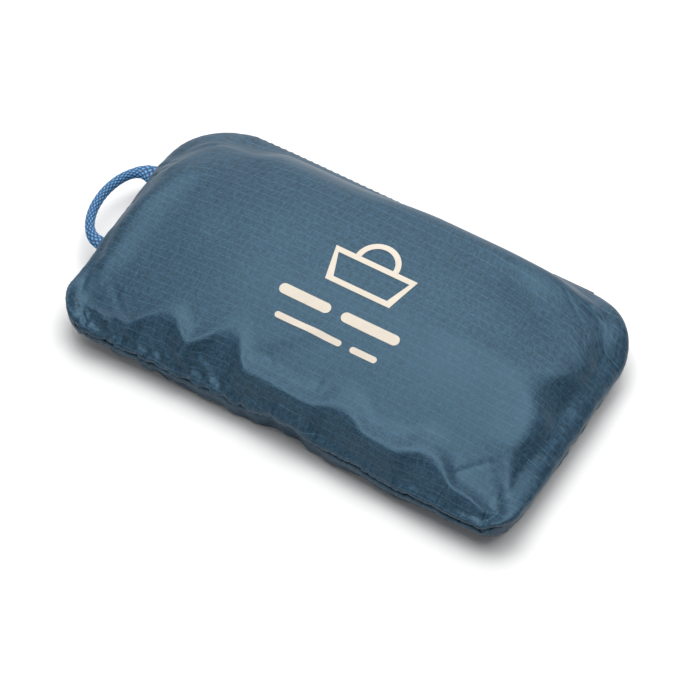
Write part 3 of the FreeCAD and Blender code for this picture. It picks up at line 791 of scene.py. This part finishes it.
def thread_speckle(nodes, x, y):
    """Short bright and dark runs along both thread directions."""
    fields = []
    for along_x, along_y, seed in ((500, 1600, 0.0), (1600, 500, 0.37)):
        vector = nodes.add("ShaderNodeCombineXYZ", {
            0: nodes.math("MULTIPLY", x, along_x), 1: nodes.math("MULTIPLY", y, along_y), 2: seed})
        fields.append(nodes.band(nodes.noise(vector, 1.0, 2, 0.7), 0.36, 0.64))
    return nodes.math("MULTIPLY", nodes.math("ADD", *fields), 0.5)


def woven_material(name, base, pitch, rough=0.75):
    """Close-woven tape, webbing or thread: diagonal rib, slight colour noise."""
    nodes = Nodes(name)
    where = nodes.place()
    split = nodes.add("ShaderNodeSeparateXYZ", {0: where})
    total = nodes.math("ADD", nodes.math("ADD", split.outputs[0], split.outputs[1]), split.outputs[2])
    rib = nodes.math("SINE", nodes.math("MULTIPLY", total, 2 * math.pi / pitch))
    mottle = nodes.noise(where, 700, 3, 0.7)
    share = nodes.math("MULTIPLY_ADD", rib, 0.2, mottle)
    colour = nodes.mix(share, tinted(base, 0.6), tinted(base, 1.4))
    normal = nodes.bump(nodes.math("ADD", rib, mottle), 0.12 * MM, 0.8)
    return nodes.set(colour=colour, rough=rough, normal=normal, specular=0.3, sheen=0.3, sheen_rough=0.5)


def cord_material():
    """Braided nylon: painted shade in the valleys and painted highlights on the crowns, broken into pale
    flecks along the yarns.
    """
    nodes = Nodes("cord_braid")
    height = nodes.add("ShaderNodeAttribute", attribute_name="braid").outputs["Fac"]
    where = nodes.place()
    yarn = nodes.noise(where, 2600, 2, 0.7)
    crown = nodes.math("MULTIPLY_ADD", nodes.math("SUBTRACT", yarn, 0.5), 0.7, height)
    # painted shade: near-black where the braid dips, rising to mid blue towards the crowns
    low = nodes.mix(nodes.band(crown, 0.25, 0.7), rgb(0.001, 0.010, 0.035), rgb(0.014, 0.10, 0.26))
    # painted highlight: pale blue on the highest crowns and on the yarn flecks
    colour = nodes.mix(nodes.band(crown, 0.72, 1.05), low, rgb(0.13, 0.42, 0.72))
    normal = nodes.bump(yarn, 0.15 * MM, 0.7)
    return nodes.set(colour=colour, rough=0.55, normal=normal, specular=0.4, sheen=0.35,
                     sheen_tint=rgb(0.6, 0.8, 1.0))


def print_material():
    """Matt heat-transfer film that lets the weave below show as faint pitting."""
    nodes = Nodes("transfer_film")
    where = nodes.place()
    pits = nodes.noise(where, 2200, 2, 0.7)
    wear = nodes.noise(where, 180, 3)
    share = nodes.math("MULTIPLY_ADD", pits, 0.5, nodes.math("MULTIPLY", wear, 0.5))
    colour = nodes.mix(share, rgb(0.46, 0.41, 0.345), rgb(0.61, 0.56, 0.48))
    return nodes.set(colour=colour, rough=0.7, normal=nodes.bump(pits, 0.05 * MM, 0.6), specular=0.25)


def metal_material(name, base, metallic, rough):
    """Lacquered or bare zip hardware with casting grain and worn brightness."""
    nodes = Nodes(name)
    where = nodes.place()
    grain = nodes.noise(where, 3000, 3, 0.6)
    wear = nodes.band(nodes.noise(where, 400, 4, 0.7), 0.55, 0.75)
    worn = tuple(min(1, c) for c in tinted(base, 2.2, 0.05))
    colour = nodes.mix(nodes.math("MULTIPLY", wear, 0.35), rgb(*base), worn)
    roughness = nodes.math("MULTIPLY_ADD", grain, 0.2, rough)
    relief = nodes.bump(grain, 0.03 * MM, 0.5)
    return nodes.set(colour=colour, rough=roughness, metal=metallic, normal=relief)


def floor_material():
    nodes = Nodes("studio_floor")
    where = nodes.place()
    grain = nodes.noise(where, 40, 2)
    colour = nodes.mix(grain, rgb(0.72, 0.72, 0.72), rgb(0.74, 0.74, 0.74))
    return nodes.set(colour=colour, rough=0.9, specular=0.0)


NAVY = (0.0152, 0.0370, 0.0610)
MATERIALS = {
    "ripstop": ripstop_material("ripstop_nylon", NAVY),
    "tote_cloth": ripstop_material("tote_nylon", tinted(NAVY, 0.95)[:3]),
    "binding_tape": woven_material("binding_tape", (0.03, 0.055, 0.08), 0.6 * MM),
    "zip_tape": woven_material("zip_tape", (0.028, 0.05, 0.075), 0.5 * MM),
    "webbing": woven_material("webbing", (0.035, 0.07, 0.10), 1.1 * MM),
    "thread": woven_material("thread", (0.05, 0.09, 0.12), 0.25 * MM, 0.6),
    "label": woven_material("care_label", (0.6, 0.6, 0.57), 0.3 * MM),
    "cord": cord_material(),
    "transfer_print": print_material(),
    "zip_coil": metal_material("zip_coil_nylon", (0.02, 0.035, 0.05), 0.0, 0.35),
    "zip_stop": metal_material("zip_stop_alloy", (0.45, 0.47, 0.5), 1.0, 0.35),
    "slider_metal": metal_material("slider_lacquer", (0.035, 0.05, 0.065), 0.6, 0.3),
}


# --- the pouch's panels ---
def make_panel(name, sheet, node):
    obj = add_surface(name, sheet.points, flip=sheet.side < 0)
    set_uv(obj, np.stack([sheet.x, sheet.y], -1).reshape(-1, 2))
    thicken(obj, CLOTH_THICKNESS)
    return finish_piece(obj, "ripstop", node)


# --- the printed sign, drawn in millimetres on the flat panel ---
SIGN_X = 2.5  # middle of the bag


def ribbon_mesh(sheet, inner, outer, lanes, lift):
    """Grid of points on the panel between two flat curves that have the same number of points."""
    share = np.linspace(0, 1, lanes)[None, :, None]
    flat = inner[:, None, :] * (1 - share) + outer[:, None, :] * share
    points = sheet.at(flat[..., 0], flat[..., 1], lift)
    return points.reshape(-1, 3), grid_faces(len(inner), lanes)


def polygon_ring(corners, step):
    """Evenly divided closed polygon; equal counts for nested polygons with the same corners."""
    points = []
    for a, b in zip(corners, corners[1:] + corners[:1]):
        share = np.linspace(0, 1, step, endpoint=False)[:, None]
        points.append(np.array(a) * (1 - share) + np.array(b) * share)
    points.append(np.array(corners[:1]))
    return np.concatenate(points) * MM


def bag_corners(inset):
    """The sign's bag, narrower at its foot than at its mouth."""
    foot, mouth, low, high = 14.5 - inset, 18.5 - inset, 1.0 + inset, 16.5 - inset
    outer = [(-foot, low), (foot, low), (mouth, high), (-mouth, high)]
    return [(SIGN_X + x, y) for x, y in outer]


def bar_curves(x0, x1, y, width):
    """Lower and upper edge of a flat bar with round ends."""
    radius = width / 2
    angle = np.linspace(0, math.pi / 2, 7)
    left = x0 + radius - radius * np.cos(angle)
    right = x1 - radius + radius * np.sin(angle)
    middle = np.linspace(x0 + radius, x1 - radius, 24)[1:-1]
    x = np.concatenate([left, middle, right])
    half = np.concatenate([radius * np.sin(angle), np.full(len(middle), radius), radius * np.cos(angle)])
    half = np.maximum(half, 0.02)
    lower = np.stack([x, y - half], -1) * MM
    upper = np.stack([x, y + half], -1) * MM
    return lower, upper


def make_print(sheet):
    """A plain tote sign over two rows of bars; the same shapes as the CAD's film."""
    stroke, lift = 2.4, 0.10 * MM
    upper_y, upper_width, lower_y, lower_width = -10, 4.4, -20.5, 2.6
    angle = np.linspace(0, math.pi, 40)
    handle_y, handle_r = 16.4, 9.6
    arc = np.stack([np.cos(angle), np.sin(angle)], -1)
    handle = np.array([SIGN_X, handle_y])
    pairs = [
        (polygon_ring(bag_corners(0), 30), polygon_ring(bag_corners(stroke), 30)),
        ((handle + arc * handle_r) * MM, (handle + arc * (handle_r - stroke)) * MM),
        bar_curves(-26, -3, upper_y, upper_width)[::-1],
        bar_curves(2, 28, upper_y, upper_width)[::-1],
        bar_curves(-22, 8, lower_y, lower_width)[::-1],
        bar_curves(12, 24, lower_y, lower_width)[::-1],
    ]
    parts = [ribbon_mesh(sheet, inner, outer, 5, lift) for outer, inner in pairs]
    obj = join_parts("printed_sign", parts, flat=True)
    thicken(obj, 0.08 * MM)
    return finish_piece(obj, "transfer_print", "printed_emblem")


# --- the carry cord ---
def cord_centreline():
    """From the tail inside one end of the seam, round the loop, to the tail inside the other."""
    middle_y = (CORD_Y[0] + CORD_Y[1]) / 2
    spread = (CORD_Y[1] - CORD_Y[0]) / 2
    reach = HINGE_X - (LOOP_LOW.x + CORD_R)
    angle = np.linspace(0, math.pi, 90)
    loop = np.stack([HINGE_X - reach * np.sin(angle), middle_y + spread * np.cos(angle)], -1)
    inside = np.linspace(TAIL_HIGH.x, HINGE_X, 14, endpoint=False)
    start = np.stack([inside, np.full(len(inside), CORD_Y[1])], -1)
    end = np.stack([inside[::-1], np.full(len(inside), CORD_Y[0])], -1)
    flat = np.concatenate([start, loop, end])
    length = distance_along(flat)
    even = np.linspace(0, length[-1], int(length[-1] / BRAID_STEP))
    # a moving average softens the bends where the loop meets its tails
    half_window = 21
    kernel = np.hanning(2 * half_window + 1)
    kernel /= kernel.sum()
    x, y = (np.convolve(np.pad(column, half_window, mode="reflect", reflect_type="odd"), kernel, "valid")
            for column in read_curve(flat, length, even).T)
    return even, np.stack([x, y, np.full(len(x), SEAM_Z)], -1)


def braid_height(angle, along):
    """Crowns of a tight braid, 0 to 1: two sets of strands that pass over each other in turn."""
    around = BRAID_STRANDS * angle / (2 * math.pi)
    first, second = around + along / BRAID_PITCH, around - along / BRAID_PITCH
    first_over = (np.floor(first) + np.floor(second)) % 2 == 0
    across = np.where(first_over, first, second) % 1 - 0.5
    run = np.where(first_over, second, first) % 1 - 0.5
    return np.cos(math.pi * across) * (0.65 + 0.35 * np.cos(math.pi * run))


def braided_tube(along, centre):
    """The braid's points, ring numbers running fastest, with the height of its crowns."""
    tangent = np.gradient(centre, axis=0)
    tangent /= np.linalg.norm(tangent, axis=1, keepdims=True)
    side = np.cross(tangent, (0, 0, 1))
    angle = np.linspace(0, 2 * math.pi, 6 * BRAID_STRANDS, endpoint=False)
    height = braid_height(angle[None, :], along[:, None])
    # the tails are sewn flat, the back one wider
    flatten = smooth(HINGE_X - 8 * MM, HINGE_X + 2 * MM, centre[:, 0])[:, None]
    flare = 0.6 + 0.7 * smooth(CORD_Y[0], CORD_Y[1], centre[:, 1])[:, None]
    radius = CORD_R * (0.90 + 0.14 * height)
    wide, tall = radius * (1 + flare * flatten), radius * (1 - 0.3 * flatten)
    points = (centre[:, None, :]
              + (wide * np.cos(angle))[..., None] * side[:, None, :]
              + (tall * np.sin(angle))[..., None] * np.array([0, 0, 1]))
    return points.transpose(1, 0, 2), height.T


def make_cord():
    """The carry cord as one piece, from the tail inside the seam round the loop to the other tail."""
    along, centre = cord_centreline()
    points, height = braided_tube(along, centre)
    segments, rings = height.shape
    faces = list(grid_faces(segments, rings, close_rows=True, flip=True))
    first, last = segments * rings, segments * rings + 1
    for a in range(0, segments * rings, rings):
        b = (a + rings) % (segments * rings)
        faces.append((first, a, b))
        faces.append((last, b + rings - 1, a + rings - 1))
    obj = add_object("carry_cord", np.concatenate([points.reshape(-1, 3), centre[:1], centre[-1:]]), faces)
    # the braid height shapes the cord and also sets its painted shade and painted highlights
    layer = obj.data.attributes.new("braid", "FLOAT", "POINT")
    layer.data.foreach_set("value", np.append(height.ravel(), [0.5, 0.5]).astype(np.float32))
    obj.data.materials.append(MATERIALS["cord"])
    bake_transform(obj)
    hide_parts("carry_cord_loop", "carry_cord_tail_front", "carry_cord_tail_back")
    return obj


# --- threads, zip and binding ---
def tube(path, radius):
    """Closed six-sided tube along a path of points, as points and faces."""
    segments = 6
    tangent = np.gradient(path, axis=0)
    tangent /= np.maximum(np.linalg.norm(tangent, axis=1, keepdims=True), 1e-12)
    guide = np.where(abs(tangent[:, 2:]) > 0.9, [[1.0, 0, 0]], [[0, 0, 1.0]])
    side = np.cross(tangent, guide)
    side /= np.linalg.norm(side, axis=1, keepdims=True)
    up = np.cross(side, tangent)
    angle = np.linspace(0, 2 * math.pi, segments, endpoint=False)
    ring = np.cos(angle)[:, None, None] * side[None] + np.sin(angle)[:, None, None] * up[None]
    points = (path[None] + radius * ring).reshape(-1, 3)
    rows = len(path)
    starts = [k * rows for k in range(segments)]
    ends = [start + rows - 1 for start in reversed(starts)]
    return points, [*grid_faces(segments, rows, close_rows=True), starts, ends]


def make_zip_stitching(upper, lower):
    """Topstitches beside both lips of the zip, lying on the cloth and dipping into it at both ends."""
    pitch, length, radius, inset = 3.1 * MM, 2.3 * MM, 0.13 * MM, 3.4 * MM
    share = np.linspace(-0.5, 0.5, 7)
    arch = 0.3 * MM * np.cos(math.pi * share) ** 0.6 - 0.18 * MM
    y = np.full(len(share), FLAT_Y - inset)
    parts = []
    for sheet in (upper, lower):
        for middle in pattern_x(sheet, np.arange(-ZIP_HALF + 3 * MM, ZIP_HALF - 2 * MM, pitch)):
            x = middle + share * length
            flat = sheet.at(x, y)
            outwards = sheet.at(x, y, 1.0) - flat
            parts.append(tube(flat + outwards * arch[:, None], radius))
    return finish_piece(join_parts("zip_topstitching", parts), "thread", "zipper_stitching")


def seam_path(upper, lower, inset):
    """Points along the three sewn sides, a given distance in from the bottom of the seam's groove."""
    borders = []
    for sheet in (upper, lower):
        grid = np.dstack([sheet.points, sheet.out_x, sheet.out_y, 0 * sheet.x])
        border = np.concatenate([grid[0, ::-1], grid[1:, 0], grid[-1, 1:]])
        length = distance_along(border[:, :3])
        even = np.linspace(8 * MM, length[-1] - 8 * MM, 420)
        borders.append(read_curve(border, length, even))
    curve = (borders[0][:, :3] + borders[1][:, :3]) / 2
    out = borders[0][:, 3:]
    out = out / np.linalg.norm(out, axis=1, keepdims=True)
    return curve - out * inset, out


def make_seam_binding(upper, lower):
    """Folded tape over the raw edges inside the seam."""
    path, out = seam_path(upper, lower, 0.0)
    angle = np.linspace(-math.pi / 2, math.pi / 2, 9)
    profile = [(1.0, 1.0)] + [(3.2 + np.cos(a) * 0.9, -np.sin(a) * 1.0) for a in angle] + [(1.0, -1.0)]
    rings = [path - out * inset * MM + np.array([0, 0, height * MM]) for inset, height in profile]
    obj = add_surface("seam_binding", np.stack(rings), flip=True)
    thicken(obj, 0.35 * MM)
    return finish_piece(obj, "binding_tape", "pouch_seam_binding")


def make_seam_stitching(upper, lower):
    """Lockstitches down the middle of the turned-in seam."""
    path, out = seam_path(upper, lower, 0.2 * MM)
    length = distance_along(path)
    pitch, stitch = 3.4 * MM, 2.5 * MM
    starts = np.arange(2 * MM, length[-1] - 4 * MM, pitch)
    runs = [read_curve(path, length, start + np.linspace(0, stitch, 6)) for start in starts]
    obj = join_parts("seam_stitching", [tube(points, THREAD_R) for points in runs])
    return finish_piece(obj, "thread", "pouch_seam_stitching")


def make_zip_tapes(upper, lower):
    """The zip's two tapes: from the coil out through the slider, then along the inside of each panel."""
    x = np.linspace(-ZIP_HALF - 4 * MM, ZIP_HALF + 4 * MM, 150)
    coil_y = (COIL_LOW.y + COIL_HIGH.y) / 2
    for name, sheet in (("upper", upper), ("lower", lower)):
        columns = []
        for rise in (0.3, 1.2, 2.2, 3.3):
            height = np.full(len(x), SEAM_Z + sheet.side * rise * MM)
            columns.append(np.stack([x, np.full(len(x), coil_y) + 0.1 * MM * rise, height], -1))
        for depth in np.linspace(4.2, 9.5, 9):
            columns.append(sheet.at(pattern_x(sheet, x), np.full(len(x), FLAT_Y - depth * MM), -0.8 * MM))
        points = np.stack(columns, 1)
        points[..., 1] += 0.06 * MM * np.sin(x * 900)[:, None]
        obj = add_surface(f"zip_tape_{name}", points, flip=sheet.side > 0)
        thicken(obj, 0.35 * MM, 0.0)
        finish_piece(obj, "zip_tape", f"zipper_tape_{name}")


def make_end_tabs(upper):
    """A short tape over the zip's ends, upright behind the lips, so that it follows the pouch's corner."""
    for side in ("left", "right"):
        node = f"zipper_end_tab_{side}"
        low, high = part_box(node)
        x, rise = box_grid((low.x, low.z), (high.x, high.z), 16, 9)
        edge = np.interp(x, upper.points[:, -1, 0], upper.points[:, -1, 1])
        bowed = 0.6 * MM * ((rise - SEAM_Z) / (high.z - SEAM_Z)) ** 2
        obj = add_surface(f"zip_end_tab_{side}", np.stack([x, edge - 0.9 * MM - bowed, rise], -1))
        thicken(obj, 0.5 * MM, 0.0)
        finish_piece(obj, "binding_tape", node)


def make_coils():
    """Each row of the zip as one wound strand, with its loops meshing on the centre line."""
    y_inner, y_outer = COIL_LOW.y, COIL_HIGH.y
    radius = 0.26 * MM
    centre_y = (y_inner + y_outer) / 2
    depth = (y_outer - y_inner) / 2 - radius
    pitch = 1.6 * MM
    for name, side, shift in (("upper", 1, 0.0), ("lower", -1, 0.5)):
        turns = np.arange(-ZIP_HALF + 2 * MM, ZIP_HALF - 2 * MM, pitch / 14)
        phase = (turns / pitch + shift) * 2 * math.pi
        reach = (0.42 + 1.02 * (1 + np.cos(phase))) * MM
        path = np.stack([turns, centre_y + depth * np.sin(phase), SEAM_Z + side * reach], -1)
        points, faces = tube(path, radius)
        obj = add_object(f"zip_coil_{name}", points, faces)
        finish_piece(obj, "zip_coil", f"zipper_coil_{name}")


def make_bartacks():
    """Close loops of thread round each sewn-in end of the cord."""
    low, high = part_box("carry_cord_bartacks")
    parts = []
    for y in CORD_Y:
        for x in np.linspace(low.x, high.x, 5):
            angle = np.linspace(0.2, 2 * math.pi, 26)
            wide, tall = 1.12 * CORD_R + 0.2 * MM, 0.9 * CORD_R + 0.2 * MM
            loop = np.stack([x + 0.25 * MM * np.cos(angle), y + wide * np.cos(angle),
                             SEAM_Z + tall * np.sin(angle)], -1)
            parts.append(tube(loop, THREAD_R))
    obj = join_parts("cord_bartacks", parts)
    return finish_piece(obj, "thread", "carry_cord_bartacks")


# --- the tote folded inside ---
def fold_profile(low_z, layers, pitch, half, thickness):
    """A strip folded back and forth, seen from its end: flat layers joined by round bends."""
    bend = pitch / 2
    profile = []
    for layer in range(layers):
        direction = 1 if layer % 2 == 0 else -1
        z = low_z + thickness / 2 + layer * pitch
        profile += [(direction * share * half, z) for share in np.linspace(-1, 1, 26)]
        if layer < layers - 1:
            profile += [(direction * (half + bend * math.cos(turn)), z + bend + bend * math.sin(turn))
                        for turn in np.linspace(-math.pi / 2, math.pi / 2, 7)[1:-1]]
    return np.array(profile)


def folded_stack(name, node, slot, layers, thickness, along_x=False, swell=0.5, seed=1):
    """Soft cloth folded back and forth inside the CAD node's box, with wandering edges."""
    low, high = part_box(node)
    size, middle = high - low, (high + low) / 2
    length, width = (size.y, size.x) if along_x else (size.x, size.y)
    pitch = (size.z - thickness) / (layers - 1)
    profile = fold_profile(low.z, layers, pitch, (width - pitch - thickness) / 2, thickness)
    lengthwise = np.linspace(-length / 2, length / 2, 60)
    a, number = np.meshgrid(lengthwise, np.arange(len(profile)), indexing="ij")
    y, z = profile[number, 0], profile[number, 1]
    draws = np.random.default_rng(seed)
    for _ in range(6):
        k, m = draws.uniform(40, 120), draws.uniform(40, 120)
        z = z + np.sin(k * a + m * profile[number, 0] + draws.uniform(0, 6)) / 6 * swell * pitch * 0.35
    a = a * (1 - 0.02 * (1 + np.sin(37 * y / width + z * 900)))
    y = y * (1 - 0.015 * (1 + np.sin(a * 90 + seed)))
    points = np.stack([y, a, z] if along_x else [a, y, z], -1) + np.array([middle.x, middle.y, 0])
    points[..., 2] *= 1 - 1.15 * face_fall(points[..., 0], points[..., 1]) / HEIGHT
    obj = add_surface(name, points, flip=along_x)
    set_uv(obj, np.stack([a, distance_along(profile)[number]], -1).reshape(-1, 2))
    thicken(obj, thickness * 0.7, 0.0)
    return finish_piece(obj, slot, node)


def make_tote():
    cloth, webbing = 0.55 * MM, 1.3 * MM
    folded_stack("tote_back", "tote_back_panel", "tote_cloth", 6, cloth, seed=11)
    folded_stack("tote_sides", "tote_gusset", "tote_cloth", 3, cloth, along_x=True, seed=12)
    folded_stack("tote_front", "tote_front_panel", "tote_cloth", 8, cloth, seed=13)
    for seed, part in enumerate(("strap_front", "strap_back", "mouth_binding"), 14):
        folded_stack(part, f"tote_{part}", "webbing", 3, webbing, along_x=True, swell=0.2, seed=seed)


def make_patches():
    """Four square reinforcements, softly waved, with their box stitching."""
    low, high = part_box("strap_patches")
    patch, box_half = 30 * MM, 12
    pieces, threads = [], []
    share = np.linspace(-0.5, 0.5, 16)
    ring = polygon_ring([(-box_half, -box_half), (box_half, -box_half),
                         (box_half, box_half), (-box_half, box_half)], 8)
    for sign_x, sign_y in ((-1, -1), (-1, 1), (1, -1), (1, 1)):
        centre_x, centre_y = (high.x - patch / 2) * sign_x, (high.y - patch / 2) * sign_y
        x, y = np.meshgrid(centre_x + share * patch, centre_y + share * patch, indexing="ij")
        z = (low.z + high.z) / 2 + 0.15 * MM * np.sin(300 * x + 1) * np.cos(260 * y)
        pieces.append((np.stack([x, y, z], -1).reshape(-1, 3), grid_faces(*x.shape)))
        path = np.column_stack([ring + (centre_x, centre_y), np.full(len(ring), high.z - 0.1 * MM)])
        threads.append(tube(path, 0.15 * MM))
    obj = join_parts("strap_patches_cloth", pieces)
    set_uv(obj, [v.co[:2] for v in obj.data.vertices])
    thicken(obj, 0.4 * MM, 0.0)
    finish_piece(obj, "tote_cloth", "strap_patches")
    finish_piece(join_parts("strap_patch_stitching", threads), "thread")


def make_label():
    """The blank care label, lying slightly waved between the folds."""
    low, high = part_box("care_label")
    x, y = box_grid(low, high, 24, 16)
    z = (low.z + high.z) / 2 + 0.2 * MM * np.sin(260 * x) * np.cos(180 * y)
    label = add_surface("care_label_cloth", np.stack([x, y, z], -1))
    thicken(label, 0.15 * MM, 0.0)
    finish_piece(label, "label", "care_label")


# --- CAD nodes that stay ---
def dress_cad_nodes():
    """Metal finishes and slightly rounded edges for the zip's hardware."""
    slots = {
        "zipper_top_stops": "zip_stop", "zipper_bottom_stop": "zip_stop",
        "slider_body": "slider_metal", "pull_tab": "slider_metal",
    }
    for node, slot in slots.items():
        obj = frame["nodes"][node]
        obj.data.materials.clear()
        obj.data.materials.append(MATERIALS[slot])
        edge = obj.modifiers.new("edges", "BEVEL")
        edge.width = 0.12 * MM
        edge.segments = 2
        edge.limit_method = "ANGLE"
        edge.angle_limit = math.radians(40)


# --- studio ---
def make_floor():
    half = 3.0
    corners = [(-half, -half, 0), (half, -half, 0), (half, half, 0), (-half, half, 0)]
    obj = add_object("studio_floor", corners, [(0, 1, 2, 3)])
    obj.data.materials.append(floor_material())


def make_light(name, place, target, size, power):
    data = bpy.data.lights.new(name, "AREA")
    data.shape = "RECTANGLE"
    data.size, data.size_y = size
    data.energy = power
    obj = link(name, data)
    obj.location = place
    obj.rotation_euler = (Vector(target) - Vector(place)).to_track_quat("-Z", "Y").to_euler()


def make_surroundings():
    """A pale room that is bright behind the pouch and dim in front of it."""
    world = bpy.data.worlds.new("studio")
    bpy.context.scene.world = world
    world.use_nodes = True
    tree = world.node_tree
    direction = tree.nodes.new("ShaderNodeTexCoord").outputs["Generated"]
    facing = tree.nodes.new("ShaderNodeVectorMath")
    facing.operation = "DOT_PRODUCT"
    facing.inputs[1].default_value = Vector((-0.45, 0.85, 0.12)).normalized()
    level = tree.nodes.new("ShaderNodeMapRange")
    for key, value in {"From Min": 0.2, "From Max": 0.98, "To Min": 0.12, "To Max": 0.85}.items():
        level.inputs[key].default_value = value
    background = tree.nodes["Background"]
    background.inputs[0].default_value = (1.0, 1.0, 1.0, 1.0)
    tree.links.new(direction, facing.inputs[0])
    tree.links.new(facing.outputs["Value"], level.inputs["Value"])
    tree.links.new(level.outputs[0], background.inputs[1])


def make_studio():
    make_floor()
    make_surroundings()
    centre = (0, 0, HEIGHT / 2)
    make_light("overhead", (0.0, 0.28, 1.25), centre, (1.9, 1.6), 25.0)
    make_light("top_softbox", (-0.08, 0.18, 1.22), centre, (0.7, 0.55), 6.5)
    make_light("rim_softbox", (-0.45, 1.25, 0.38), centre, (0.9, 0.35), 3.2)
    make_light("front_fill", (-0.3, -1.2, 0.5), centre, (0.9, 0.5), 3.0)
    bpy.context.scene.view_settings.view_transform = "Standard"


def make_camera():
    azimuth, elevation = math.radians(30.3), math.radians(54.5)
    distance = 12 * 2 * HALF_X
    back = Vector((math.sin(azimuth) * math.cos(elevation), -math.cos(azimuth) * math.cos(elevation),
                   math.sin(elevation)))
    data = bpy.data.cameras.new("camera")
    data.sensor_width = 36
    data.lens = 324
    data.shift_y = -0.04
    camera = link("camera", data)
    camera.location = Vector((0, 0, SEAM_Z)) + back * distance
    camera.rotation_mode = "QUATERNION"
    camera.rotation_quaternion = (-back).to_track_quat("-Z", "Y")
    bpy.context.scene.camera = camera


def main():
    upper, lower = build_sheets()
    make_panel("pouch_top_cloth", upper, "pouch_top_panel")
    make_panel("pouch_bottom_cloth", lower, "pouch_bottom_panel")
    make_print(upper)
    make_cord()
    make_bartacks()
    make_seam_binding(upper, lower)
    make_seam_stitching(upper, lower)
    make_zip_stitching(upper, lower)
    make_zip_tapes(upper, lower)
    make_end_tabs(upper)
    make_coils()
    make_tote()
    make_patches()
    make_label()
    dress_cad_nodes()
    make_studio()
    make_camera()


main()
